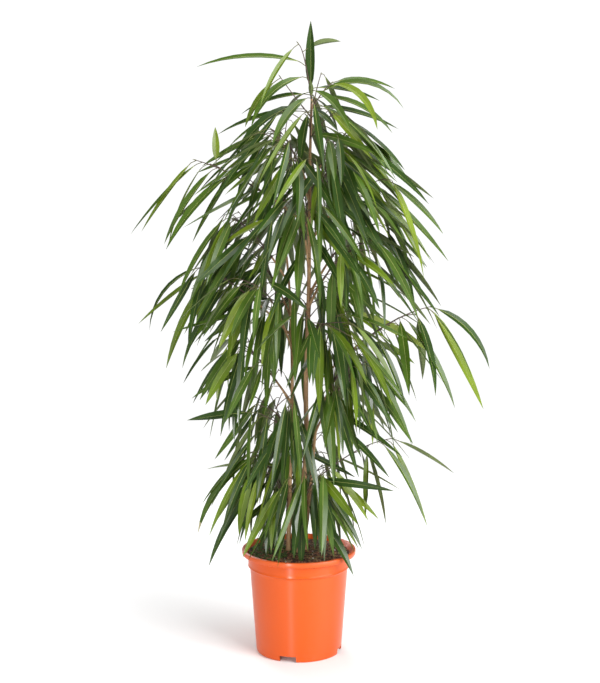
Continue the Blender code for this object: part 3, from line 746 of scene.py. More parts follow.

# In the shade column, DEEP leaves set low and inside the crown also stand there as painted shade
ACCENTS: dict[str, tuple[Accent, ...]] = {
    "crest_top": (
        Accent(0.05, 92, 87, 84, 0.130, 24, 0, 2, 0.0200, Shade.DEEP),
        Accent(0.40, 178, 14, -20, 0.196, 48, 40, 17, 0.0128, Shade.MID),
        Accent(0.97, 214, -44, -68, 0.134, 40, 20, 12, 0.0112, Shade.SAP),
        Accent(0.66, 40, 24, -2, 0.092, 50, 10, 13, 0.0150, Shade.MID),
        Accent(0.24, 206, -12, -74, 0.150, 30, 40, 30, 0.0190, Shade.MID),
        Accent(0.02, 262, 70, 58, 0.036, 0, 0, 6, 0.0095, Shade.YOUNG),
        Accent(0.06, 158, -2, -30, 0.140, 40, 20, 14, 0.0150, Shade.DEEP),
        Accent(0.12, 24, 2, -22, 0.140, -40, 20, 12, 0.0140, Shade.DEEP),
        Accent(0.03, 236, -18, -58, 0.150, 20, 30, 20, 0.0190, Shade.MID),
        Accent(0.10, 304, -14, -54, 0.145, -20, 30, 20, 0.0180, Shade.MID),
        Accent(0.08, 112, -4, -40, 0.140, 30, 20, 18, 0.0160, Shade.MID),
        Accent(0.03, 68, -6, -44, 0.145, -30, 20, 18, 0.0160, Shade.MID),
    ),
    "crest_left": (
        Accent(0.96, 186, -44, -70, 0.108, 45, 20, 13, 0.0160, Shade.SAP),
        Accent(0.30, 200, -12, -70, 0.160, 40, 10, 25, 0.0190, Shade.DEEP),
        Accent(0.12, 176, -2, -30, 0.165, 42, 20, 14, 0.0150, Shade.DEEP),
        Accent(0.20, 164, -12, -44, 0.160, 36, 20, 16, 0.0160, Shade.MID),
    ),
    "crest_right": (
        Accent(0.26, 3, 30, -56, 0.172, -46, 40, 43, 0.0138, Shade.MID),
        Accent(0.66, 24, 10, -22, 0.130, -40, 20, 16, 0.0140, Shade.MID),
        Accent(0.55, 318, -2, -76, 0.150, -30, 30, 37, 0.0170, Shade.FRESH),
        Accent(0.24, 350, -6, -52, 0.150, -36, 30, 23, 0.0160, Shade.MID),
        Accent(0.12, 334, -30, -56, 0.185, -25, 30, 13, 0.0185, Shade.MID),
        Accent(0.06, 10, -4, -28, 0.160, -42, 20, 12, 0.0150, Shade.DEEP),
    ),
    "upper_left": (
        Accent(0.97, 182, -50, -58, 0.160, 42, 40, 4, 0.0125, Shade.SAP),
        Accent(0.88, 178, -41, -52, 0.182, 30, 38, 5, 0.0130, Shade.MID),
        Accent(0.66, 188, -48, -66, 0.166, 40, 40, 9, 0.0165, Shade.MID),
        Accent(0.68, 98, 74, 80, 0.072, 0, 0, 3, 0.0140, Shade.FRESH),
        Accent(0.45, 200, -36, -62, 0.180, 40, 30, 13, 0.0180, Shade.MID),
    ),
    "upper_right": (
        Accent(0.55, 356, -24, -38, 0.196, 42, 30, 7, 0.0175, Shade.MID),
        Accent(0.97, 2, -30, -58, 0.160, -40, 30, 14, 0.0175, Shade.MID),
    ),
    "high_right": (
        Accent(0.97, 2, -40, -52, 0.196, -42, 36, 6, 0.0180, Shade.MID),
        Accent(0.70, 350, -36, -58, 0.180, -30, 30, 11, 0.0170, Shade.SAP),
    ),
    "high_back_right": (
        Accent(0.97, 4, -42, -56, 0.198, 40, 44, 7, 0.0175, Shade.MID),
        Accent(0.80, 10, -38, -60, 0.175, -40, 34, 11, 0.0170, Shade.MID),
    ),
    "middle_left": (
        Accent(0.97, 178, -20, -86, 0.164, 34, 24, 33, 0.0130, Shade.DEEP),
        Accent(0.86, 182, -34, -42, 0.162, 34, 20, 4, 0.0135, Shade.SAP),
        Accent(0.76, 196, -54, -74, 0.196, 40, 40, 10, 0.0180, Shade.SAP),
        Accent(0.45, 190, -48, -74, 0.180, 40, 30, 13, 0.0170, Shade.MID),
    ),
    "middle_right": (
        Accent(0.97, 358, -22, -76, 0.162, -44, 14, 27, 0.0175, Shade.DEEP),
        Accent(0.93, 346, -58, -66, 0.208, -48, 44, 4, 0.0195, Shade.FRESH),
        Accent(0.90, 330, -42, -70, 0.160, 15, 40, 14, 0.0140, Shade.MID),
        Accent(0.72, 320, -62, -86, 0.158, -25, 50, 12, 0.0165, Shade.DEEP),
        Accent(0.55, 340, -50, -70, 0.190, -30, 40, 10, 0.0175, Shade.MID),
    ),
    "base_right": (
        Accent(0.97, 2, -26, -36, 0.132, 36, 16, 5, 0.0150, Shade.MID),
        Accent(0.90, 354, -64, -70, 0.180, -35, 60, 3, 0.0145, Shade.SAP),
        Accent(0.80, 336, -48, -70, 0.160, -20, 40, 11, 0.0150, Shade.MID),
        Accent(0.05, 334, -46, -60, 0.150, -15, 30, 7, 0.0200, Shade.DEEP),
        Accent(0.12, 300, -66, -84, 0.140, 0, 50, 9, 0.0195, Shade.DEEP),
        Accent(0.06, 20, -60, -84, 0.136, 10, 40, 12, 0.0200, Shade.DEEP),
        Accent(0.04, 56, -58, -82, 0.134, 10, 40, 12, 0.0200, Shade.DEEP),
    ),
    "base_left": (
        Accent(0.97, 190, -32, -76, 0.190, 36, 26, 22, 0.0195, Shade.MID, 0.16),
        Accent(0.60, 202, -42, -70, 0.206, 30, 30, 14, 0.0185, Shade.DEEP),
        Accent(0.10, 118, -52, -80, 0.118, 0, 40, 12, 0.0200, Shade.DEEP),
        Accent(0.06, 196, -54, -76, 0.112, 16, 40, 11, 0.0195, Shade.DEEP),
        Accent(0.45, 276, -74, -87, 0.132, 0, 60, 6, 0.0200, Shade.DEEP),
        Accent(0.20, 150, -60, -84, 0.118, 0, 40, 12, 0.0200, Shade.DEEP),
        Accent(0.30, 236, -64, -84, 0.130, 10, 50, 10, 0.0195, Shade.DEEP),
        Accent(0.15, 214, -20, -40, 0.110, 20, 20, 10, 0.0165, Shade.MID),
    ),
    "base_front": (
        Accent(0.20, 322, -34, -62, 0.165, -20, 40, 14, 0.0210, Shade.DEEP),
        Accent(0.45, 246, -58, -82, 0.128, 10, 50, 11, 0.0205, Shade.DEEP),
        Accent(0.70, 312, -56, -76, 0.145, -10, 40, 11, 0.0205, Shade.MID),
        Accent(0.97, 300, -76, -88, 0.150, 0, 60, 6, 0.0195, Shade.DEEP),
        Accent(0.90, 230, -66, -84, 0.120, 10, 60, 9, 0.0200, Shade.DEEP),
        Accent(0.28, 264, -64, -85, 0.130, 0, 50, 10, 0.0190, Shade.DEEP),
    ),
    "crest_front": (Accent(0.80, 236, -66, -84, 0.105, 0, 50, 8, 0.0180, Shade.DEEP),),
    "upper_front_left": (
        Accent(0.97, 215, -74, -86, 0.138, 10, 60, 7, 0.0200, Shade.DEEP),
        Accent(0.45, 290, -66, -87, 0.122, 0, 56, 9, 0.0205, Shade.MID),
    ),
    "upper_back_left": (Accent(0.97, 190, -48, -80, 0.165, 30, 40, 15, 0.0195, Shade.DEEP),),
    "upper_front_right": (Accent(0.97, 225, -62, -86, 0.128, 0, 50, 11, 0.0150, Shade.SAP),),
    "high_front": (
        Accent(0.85, 320, -70, -89, 0.182, 0, 60, 9, 0.0180, Shade.MID, 0.0, 0.026),
        Accent(0.97, 190, -56, -84, 0.165, 10, 46, 13, 0.0190, Shade.MID),
    ),
    "high_left": (Accent(0.97, 198, -62, -86, 0.170, 20, 50, 12, 0.0205, Shade.DEEP),),
    "high_front_right": (Accent(0.30, 258, -76, -88, 0.150, 0, 60, 6, 0.0185, Shade.MID),),
    "middle_front_left": (
        Accent(0.97, 220, -72, -87, 0.142, 10, 60, 8, 0.0205, Shade.DEEP),
        Accent(0.40, 282, -76, -87, 0.156, 0, 60, 6, 0.0190, Shade.MID),
    ),
    "middle_back_left": (Accent(0.10, 300, -78, -88, 0.180, 0, 50, 5, 0.0190, Shade.DEEP),),
    "middle_back": (Accent(0.15, 252, -76, -88, 0.178, 0, 50, 6, 0.0190, Shade.DEEP),),
    "lower_back_right": (Accent(0.10, 190, -60, -86, 0.160, 0, 40, 13, 0.0190, Shade.DEEP),),
    "lower_back_left": (Accent(0.40, 4, -50, -80, 0.152, 0, 40, 15, 0.0190, Shade.DEEP),),
    "leader_right": (Accent(0.97, 215, -58, -84, 0.130, 0, 50, 13, 0.0130, Shade.SAP),),
    "middle_front": (
        Accent(0.97, 345, -70, -88, 0.170, 0, 60, 9, 0.0180, Shade.DEEP),
        Accent(0.70, 262, -80, -88, 0.160, 0, 64, 4, 0.0165, Shade.SAP),
    ),
    "lower_left": (Accent(0.97, 230, -80, -88, 0.178, 10, 66, 4, 0.0190, Shade.DEEP),),
    "lower_front_right": (Accent(0.55, 200, -52, -88, 0.150, 0, 50, 18, 0.0190, Shade.DEEP),),
    "base_back": (
        Accent(0.18, 146, -56, -80, 0.148, -10, 40, 12, 0.0205, Shade.DEEP),
        Accent(0.10, 40, -56, -84, 0.134, 20, 40, 14, 0.0205, Shade.DEEP),
        Accent(0.16, 84, -60, -86, 0.134, 10, 40, 13, 0.0205, Shade.DEEP),
        Accent(0.12, 122, -56, -84, 0.132, -10, 40, 13, 0.0205, Shade.DEEP),
        Accent(0.22, 146, -40, -66, 0.160, -20, 40, 13, 0.0190, Shade.DEEP),
        Accent(0.26, 20, -44, -68, 0.158, 20, 40, 12, 0.0190, Shade.DEEP),
    ),
}


@dataclass(frozen=True)
class Growth:
    """The rule that every mass grows by: angles in degrees, sizes in metres."""

    knee: float = 0.55                      # where a limb's arch turns, as a share of its reach
    bough_root: float = 0.0028
    bough_tip: float = 0.0018
    bough_share: float = 0.80
    bough_bare: float = 0.25                # share of a bough that carries no leaves
    twig_root: float = 0.0013               # of a main twig that has no bough
    twig_tip: float = 0.0007
    side_shares: Range = (0.06, 0.82)       # where the first and the last side twig grow
    side_counts: tuple[int, int] = (2, 7)   # the fewest and the most of them
    side_steps: int = 4
    side_length: float = 0.070
    side_shortening: float = 0.45
    side_spread: Range = (0.70, 1.20)
    side_swing: Range = (30.0, 66.0)
    side_lift: Range = (-22.0, 12.0)
    side_droop: float = 18.0
    side_root: float = 0.0011
    side_tip: float = 0.0007
    leaf_length: float = 0.168
    leaf_spread: float = 0.22
    leaf_breadth: Range = (0.0110, 0.0196)
    breadth_share: float = 0.135            # a short leaf is narrower: its breadth by length
    petiole: Range = (0.016, 0.028)
    leaf_steps: int = 14
    spacing: float = 0.0085
    offset: float = 0.35                    # how far before each even step its leaf grows
    last_place: float = 0.95                # no leaf but the outermost grows past this share
    tip_place: float = 0.97                 # of its twig, and that one grows here
    tip_swing: Range = (-26.0, 26.0)
    swing: Range = (14.0, 82.0)
    lift: Range = (-12.0, 26.0)             # how a petiole leaves its twig, past
    lift_share: float = 0.5                 # this share of the twig's own slope
    droop: tuple[tuple[float, float], ...] = (  # the blade's slope at heights
        (0.25, -46.0), (0.40, -48.0), (0.55, -47.0), (0.80, -38.0), (0.90, -29.0),
        (1.00, -19.0), (1.08, -12.0))
    droop_spread: float = 19.0
    droop_shake: Range = (-5.0, 5.0)
    steepest: float = -86.0                 # for a blade's first slope,
    steepest_end: float = -89.0             # and for its last
    arch: Range = (2.0, 24.0)               # how much further the blade bends to its tip
    accent_length: float = 1.02             # for a straighter leaf with its tip in its place
    accent_twist: float = 0.4               # how much it twists, as a share of other leaves
    petiole_most: float = 0.2               # of its length
    roll: Range = (-56.0, 56.0)
    turn_to_light: float = 26.0             # how far blades at the sides turn to the front
    twist: Range = (-35.0, 35.0)
    sway: Range = (-16.0, 16.0)
    outward: float = 0.75                   # how strongly headings turn away from the middle
    fold: Range = (10.0, 28.0)
    room: float = 0.012                     # how far a leaf may pass the solids' boxes
    crown: tuple[tuple[float, float], ...] = (  # the crown's radius at heights
        (0.19, 0.155), (0.28, 0.175), (0.38, 0.190), (0.47, 0.210), (0.56, 0.258),
        (0.66, 0.252), (0.74, 0.238), (0.83, 0.210), (0.92, 0.160), (0.97, 0.125),
        (1.01, 0.095), (1.10, 0.060))
    crown_slack: Range = (0.84, 1.20)
    crown_middle: tuple[float, float] = (0.012, 0.005)
    crown_foot: float = 0.190               # no leaf of the crown hangs lower
    tries: int = 9
    odds: tuple[int, ...] = (40, 38, 17, 4, 1)  # of the five greens from deep to young
    young_share: float = 0.9                # young leaves grow past this share of a twig
    fill: float = 1.50                      # leaves for each one of the solid
    crest_fill: float = 1.15
    base_fill: float = 1.9
    open_fill: float = 1.2                  # in the long sprays that stand out of the crown
    long_reach: float = 0.140

    def slope_at(self, height: float) -> float:
        """The usual slope of a blade at a height, in degrees."""
        heights, slopes = zip(*self.droop)
        return float(np.interp(height, heights, slopes))

    def goal(self, spray: Spray) -> int:
        """How many leaves a mass gets for those of its solid."""
        if spray.reach > self.long_reach:
            share = self.open_fill
        else:
            share = {"crest": self.crest_fill, "base": self.base_fill}.get(spray.zone, self.fill)
        return round(spray.leaves * share)


GROWTH = Growth()


# ---------------------------------------------------------------- leaves

class Blade:
    """The unit leaf: a long pointed blade, hollow above and keeled below, that is laid out."""

    ROWS = 8
    WIDEST = 0.58           # the outline is t ** WIDEST * (1 - t) ** TAPER, scaled to 1
    TAPER = 0.92
    KEEL = 0.0006           # thickness at the midrib,
    KEEL_ROOT = 1.15        # times this at the blade's root and this less 1 at its tip
    POINT = 0.004           # the outline stays this share of the length inside its ends

    def __init__(self) -> None:
        """Make the blade as a closed solid of two skins that share their margins."""
        work = bmesh.new()
        bmesh.ops.create_grid(work, x_segments=2, y_segments=self.ROWS, size=1.0)
        under = bmesh.ops.duplicate(work, geom=work.faces[:])["geom"]
        faces = [g for g in under if isinstance(g, bmesh.types.BMFace)]
        verts = [g for g in under if isinstance(g, bmesh.types.BMVert)]
        bmesh.ops.reverse_faces(work, faces=faces)
        middle = [v for v in verts if abs(v.co.x) < 0.5 and abs(v.co.y) < 1.0 - TINY]
        bmesh.ops.translate(work, verts=middle, vec=(0.0, 0.0, -1.0))
        for face in work.faces:
            face.smooth = True
        for face in faces:
            face.material_index = 1
        bmesh.ops.remove_doubles(work, verts=work.verts, dist=TINY)
        self.mesh = mesh_of("blade", work)
        widest = self.WIDEST / (self.WIDEST + self.TAPER)
        self.scale = 1.0 / (widest ** self.WIDEST * (1.0 - widest) ** self.TAPER)

    def outline(self, share: float) -> float:
        """Half-breadth at a share of the blade's length, 1 at its widest."""
        inside = min(max(share, self.POINT), 1.0 - self.POINT)
        return self.scale * inside ** self.WIDEST * (1.0 - inside) ** self.TAPER


@dataclass
class Leaf:
    """One leaf: where its midrib runs and how its blade lies on it."""

    line: Line
    breadth: float
    petiole: float
    roll: float
    twist: float
    fold: float
    shade: Shade
    dry: float = 0.0        # share of the blade at its tip that is dry
    still: float = 0.4      # share of the blade where its twist doesn't turn it

    def rows(self, blade: Blade) -> list[tuple[Vector, Vector, Vector, Vector]]:
        """The blade's rows, each as its left margin, midrib, right margin and the way up."""
        stalk = self.petiole / self.line.length
        rows = []
        for k in range(blade.ROWS + 1):
            share = k / blade.ROWS
            spot = self.line.at(stalk + (1.0 - stalk) * share)
            turn = self.roll + self.twist * (share - self.still)
            across = spot.side * math.cos(turn) + spot.above * math.sin(turn)
            upward = spot.above * math.cos(turn) - spot.side * math.sin(turn)
            half = self.breadth / 2 * blade.outline(share)
            lift = upward * half * math.sin(self.fold)
            spread = across * half * math.cos(self.fold)
            rows.append((spot.place - spread + lift, spot.place, spot.place + spread + lift,
                         upward))
        return rows

    def tree(self, rows: Sequence[tuple[Vector, Vector, Vector, Vector]]) -> BVHTree:
        """A search tree over the blade's two halves."""
        points = [p for row in rows for p in row[:3]]
        faces = []
        for k in range(len(rows) - 1):
            low, high = 3 * k, 3 * (k + 1)
            faces.append((low, low + 1, high + 1, high))
            faces.append((low + 1, low + 2, high + 2, high + 1))
        return BVHTree.FromPolygons(points, faces)

    def lay(self, work: bmesh.types.BMesh, blade: Blade, slots: dict[Shade, int]) -> None:
        """Lay the blade out in a mesh."""
        rows = self.rows(blade)
        first, first_face = len(work.verts), len(work.faces)
        work.from_mesh(blade.mesh)
        work.verts.ensure_lookup_table()
        work.faces.ensure_lookup_table()
        shares: dict[Any, float] = {}
        for vert in work.verts[first:]:
            share = (vert.co.y + 1.0) / 2
            row = rows[round(share * blade.ROWS)]
            column = round(vert.co.x) + 1
            keel = blade.KEEL * (blade.KEEL_ROOT - share) if vert.co.z < -0.5 else 0.0
            shares[vert] = share
            vert.co = row[column] - row[3] * keel
        for face in work.faces[first_face:]:
            middle = sum(shares[v] for v in face.verts) / len(face.verts)
            top = Shade.DRY if middle > 1.0 - self.dry else self.shade
            face.material_index = slots[Shade.UNDER if face.material_index else top]


class Space:
    """Everything that has grown so far and the boxes to keep to, to find room for more."""

    def __init__(self, boxes: Sequence[tuple[Any, Any]], most: int = 6000) -> None:
        """Start with nothing grown.

        Args:
            boxes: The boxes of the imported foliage, each as its two corners.
            most: How many pieces there may be.
        """
        corners = np.array([[tuple(low), tuple(high)] for low, high in boxes])
        self.box_lows = corners[:, 0] - GROWTH.room
        self.box_highs = corners[:, 1] + GROWTH.room
        self.lows = np.zeros((most, 3))
        self.highs = np.zeros((most, 3))
        self.trees: list[BVHTree] = []

    def holds(self, points: Sequence[Vector], slack: float) -> bool:
        """Whether every point is in one of the boxes and in the crown.

        Args:
            points: The points.
            slack: How much wider the crown is taken to be.

        Returns:
            True where they all are.
        """
        spread = np.array([tuple(p) for p in points])
        away = np.linalg.norm(spread[:, :2] - np.array(GROWTH.crown_middle), axis=1)
        radii = np.interp(spread[:, 2], *zip(*GROWTH.crown)) * slack
        if (away > radii).any() or spread[:, 2].min() < GROWTH.crown_foot:
            return False
        spread = spread[:, None, :]
        inside = np.logical_and(spread > self.box_lows, spread < self.box_highs).all(axis=2)
        return bool(inside.any(axis=1).all())

    def add_object(self, thing: Object) -> None:
        """Note a finished piece."""
        verts = [v.co for v in thing.data.vertices]
        self.add(BVHTree.FromPolygons(verts, [f.vertices for f in thing.data.polygons]),
                 verts)

    def add(self, tree: BVHTree, points: Sequence[Vector]) -> None:
        """Note a piece that has grown."""
        spread = np.array([tuple(p) for p in points])
        self.lows[len(self.trees)] = spread.min(axis=0)
        self.highs[len(self.trees)] = spread.max(axis=0)
        self.trees.append(tree)

    def free(self, tree: BVHTree, points: Sequence[Vector]) -> bool:
        """Whether a piece would touch nothing that has grown."""
        spread = np.array([tuple(p) for p in points])
        low, high = spread.min(axis=0), spread.max(axis=0)
        count = len(self.trees)
        near = np.logical_and(self.lows[:count] < high, self.highs[:count] > low).all(axis=1)
        return not any(tree.overlap(self.trees[k]) for k in np.nonzero(near)[0])


def rod_tree(line: Line, radius: float, sides: int = 3) -> tuple[BVHTree, list[Vector]]:
    """A search tree of a few sides round a thin limb, and its points."""
    points, faces = [], []
    for spot in line.spots:
        for k in range(sides):
            angle = 2 * math.pi * k / sides
            points.append(spot.place + (spot.side * math.cos(angle)
                                        + spot.above * math.sin(angle)) * radius)
    for row in range(0, len(points) - sides, sides):
        for k in range(sides):
            j = (k + 1) % sides
            faces.append((row + k, row + j, row + sides + j, row + sides + k))
    return BVHTree.FromPolygons(points, faces), points


@dataclass
class Twig:
    """A twig with its line and its two end radii."""

    line: Line
    root: float
    tip: float
    order: int              # 0 for a mass's bough or main twig, 1 for side twigs
    last: float = 0.0       # share of its length where its outermost leaf sits


class Mass:
    """One mass of foliage: a main twig, side twigs, fine twigs and leaves."""

    ARCH_STEPS = 12

    def __init__(self, spray: Spray, start: Vector, root: float) -> None:
        """Set out the main twig, and the bough where there is one.

        Args:
            spray: The mass's sizes.
            start: Where its line leaves the stem.
            root: The limb's radius there.
        """
        self.spray = spray
        self.rng = random.Random(f"{SEED} {spray.name}")
        self.boughs: list[Twig] = []
        if spray.bare:
            bough = Line(self._arch(start, 0.0, spray.bare))
            self.boughs.append(Twig(bough, root, GROWTH.bough_tip, 0))
            root = GROWTH.bough_tip
        main = Line(self._arch(start, spray.bare, 1.0))
        self.twigs = [Twig(main, root, GROWTH.twig_tip, 0)]
        self.leaves: list[Leaf] = []
        self.goal = GROWTH.goal(spray)

    def _arch(self, start: Vector, low: float, high: float) -> list[Vector]:
        """Points of the limb's arch between two shares of it."""
        spray = self.spray
        flat = level_way(math.radians(spray.heading))
        end = start + flat * spray.reach
        end.z = spray.end_height
        knee = start + flat * spray.reach * GROWTH.knee
        knee.z = start.z + spray.reach * GROWTH.knee * math.tan(math.radians(spray.rise))
        points = []
        for k in range(self.ARCH_STEPS + 1):
            t = low + (high - low) * k / self.ARCH_STEPS
            points.append(start * (1 - t) ** 2 + knee * 2 * t * (1 - t) + end * t ** 2)
        return points

    def _some(self, span: Range) -> float:
        """A random angle from a range in degrees, in radians."""
        return math.radians(self.rng.uniform(*span))

    def grow_twigs(self, space: Space) -> None:
        """Grow side twigs by turns to the left and right of the main twig."""
        main = self.twigs[0].line
        space.add(*rod_tree(main, GROWTH.side_root))
        turn = self.rng.choice((-1, 1))
        first, last = GROWTH.side_shares
        fewest, most = GROWTH.side_counts
        count = min(max(round(self.spray.leaves / 2), fewest), most)
        for k in range(count):
            share = first + (last - first) * k / (count - 1)
            turn = -turn
            length = GROWTH.side_length * (1 - GROWTH.side_shortening * share)
            self._grow_twig(main.at(share), turn, length, space)

    def _grow_twig(self, spot: Spot, turn: int, length: float, space: Space) -> None:
        """Grow one twig unless something is in its way.

        Args:
            spot: Where it leaves its parent.
            turn: -1 or 1, the side that it leaves to.
            length: Its length before it varies.
            space: What has grown so far.
        """
        ahead = spot.ahead
        for _ in range(GROWTH.tries):
            heading = math.atan2(ahead.y, ahead.x) + turn * self._some(GROWTH.side_swing)
            slope = slope_of(ahead) + self._some(GROWTH.side_lift)
            size = length * self.rng.uniform(*GROWTH.side_spread)
            bend = even_bend(slope, slope - math.radians(GROWTH.side_droop))
            line = Line(bent_points(spot.place, heading, bend, size, GROWTH.side_steps))
            tree, points = rod_tree(Line(line.points[1:]), GROWTH.side_tip)
            if space.holds(points, 1.0) and space.free(tree, points):
                space.add(tree, points)
                self.twigs.append(Twig(line, GROWTH.side_root, GROWTH.side_tip, 1))
                return

    def grow_accents(self, space: Space, blade: Blade) -> None:
        """Grow the mass's leaves that have places of their own."""
        main = self.twigs[0]
        for accent in ACCENTS.get(self.spray.name, ()):
            petiole = min(accent.petiole, accent.length * GROWTH.petiole_most)
            middle = (accent.slope + accent.end_slope) / 2
            arch = min(accent.arch, abs(accent.slope - middle))
            bend = Bend(math.radians(accent.slope + accent.lift), math.radians(middle + arch),
                        math.radians(middle - arch), petiole / accent.length)
            line = Line(bent_points(main.line.at(accent.share).place,
                                    math.radians(accent.heading), bend,
                                    accent.length * GROWTH.accent_length,
                                    GROWTH.leaf_steps))
            leaf = Leaf(line, accent.breadth, petiole, math.radians(accent.roll),
                        self._some(GROWTH.twist) * GROWTH.accent_twist,
                        self._some(GROWTH.fold), accent.shade, accent.dry)
            rows = leaf.rows(blade)
            space.add(leaf.tree(rows), [p for row in rows for p in row[:3]])
            self.leaves.append(leaf)
            main.last = max(main.last, accent.share)

    def _breadth(self, length: float) -> float:
        """A leaf's breadth, less in a short leaf."""
        return min(self.rng.uniform(*GROWTH.leaf_breadth), length * GROWTH.breadth_share)

    def _leaf_places(self) -> Iterator[tuple[Twig, float, int]]:
        """Where leaves may grow: twig tips first, then places mixed over all the twigs."""
        for twig in self.twigs:
            yield twig, GROWTH.tip_place, 0
        rest = []
        for twig in self.twigs + self.boughs:
            count = max(int(twig.line.length / GROWTH.spacing), 1)
            for i in range(1, count + 1):
                share = (i - GROWTH.offset) / count
                bare = GROWTH.bough_bare if twig in self.boughs else 0.0
                if bare < share < GROWTH.last_place:
                    rest.append((twig, share, 1 if i % 2 else -1))
        self.rng.shuffle(rest)
        yield from rest

    def _shade(self, share: float) -> Shade:
        """Deal a leaf its colour: mostly deep and grown ones, young ones only at tips."""
        shades = (Shade.DEEP, Shade.MID, Shade.SAP, Shade.FRESH, Shade.YOUNG)
        young = GROWTH.odds[-1] if share > GROWTH.young_share else 0
        return self.rng.choices(shades, (*GROWTH.odds[:-1], young))[0]

    def grow_leaves(self, space: Space, blade: Blade) -> None:
        """Grow leaves along the twigs, hanging out and down, until the mass has its count."""
        for twig, share, side in self._leaf_places():
            if len(self.leaves) >= self.goal:
                break
            spot = twig.line.at(share)
            slope = GROWTH.slope_at(spot.place.z) + self.rng.gauss(0.0, GROWTH.droop_spread)
            slack = self.rng.uniform(*GROWTH.crown_slack)
            for _ in range(GROWTH.tries):
                leaf = self._leaf(spot, share, side, slope)
                rows = leaf.rows(blade)
                points = [p for row in rows for p in row[:3]]
                if not space.holds(points, slack):
                    continue
                tree = leaf.tree(rows)
                if space.free(tree, points):
                    space.add(tree, points)
                    self.leaves.append(leaf)
                    twig.last = max(twig.last, share)
                    break

    def _leaf(self, spot: Spot, share: float, side: int, slope: float) -> Leaf:
        """A leaf whose petiole bends over and whose blade hangs nearly straight.

        Args:
            spot: Where it grows.
            share: How far along its twig that is.
            side: -1 or 1 for a side of the twig, 0 for its tip.
            slope: The slope of its blade in degrees.

        Returns:
            The leaf.
        """
        swing = self._some(GROWTH.swing) * side if side else self._some(GROWTH.tip_swing)
        away = (spot.place.xy - Vector(GROWTH.crown_middle)).normalized() * GROWTH.outward
        way = level_way(math.atan2(spot.ahead.y, spot.ahead.x) + swing)
        heading = math.atan2(way.y + away.y, way.x + away.x)
        length = GROWTH.leaf_length * self.rng.uniform(1 - GROWTH.leaf_spread,
                                                       1 + GROWTH.leaf_spread)
        petiole = self.rng.uniform(*GROWTH.petiole)
        leave = slope_of(spot.ahead) * GROWTH.lift_share + self._some(GROWTH.lift)
        hang = max(math.radians(slope + self.rng.uniform(*GROWTH.droop_shake)),
                   math.radians(GROWTH.steepest))
        end = max(hang - self._some(GROWTH.arch), math.radians(GROWTH.steepest_end))
        bend = Bend(max(leave, hang), hang, end, petiole / length)
        line = Line(bent_points(spot.place, heading, bend, length, GROWTH.leaf_steps,
                                self._some(GROWTH.sway)))
        roll = self._some(GROWTH.roll) - math.radians(GROWTH.turn_to_light) * math.cos(heading)
        return Leaf(line, self._breadth(length), petiole, roll, self._some(GROWTH.twist),
                    self._some(GROWTH.fold), self._shade(share))


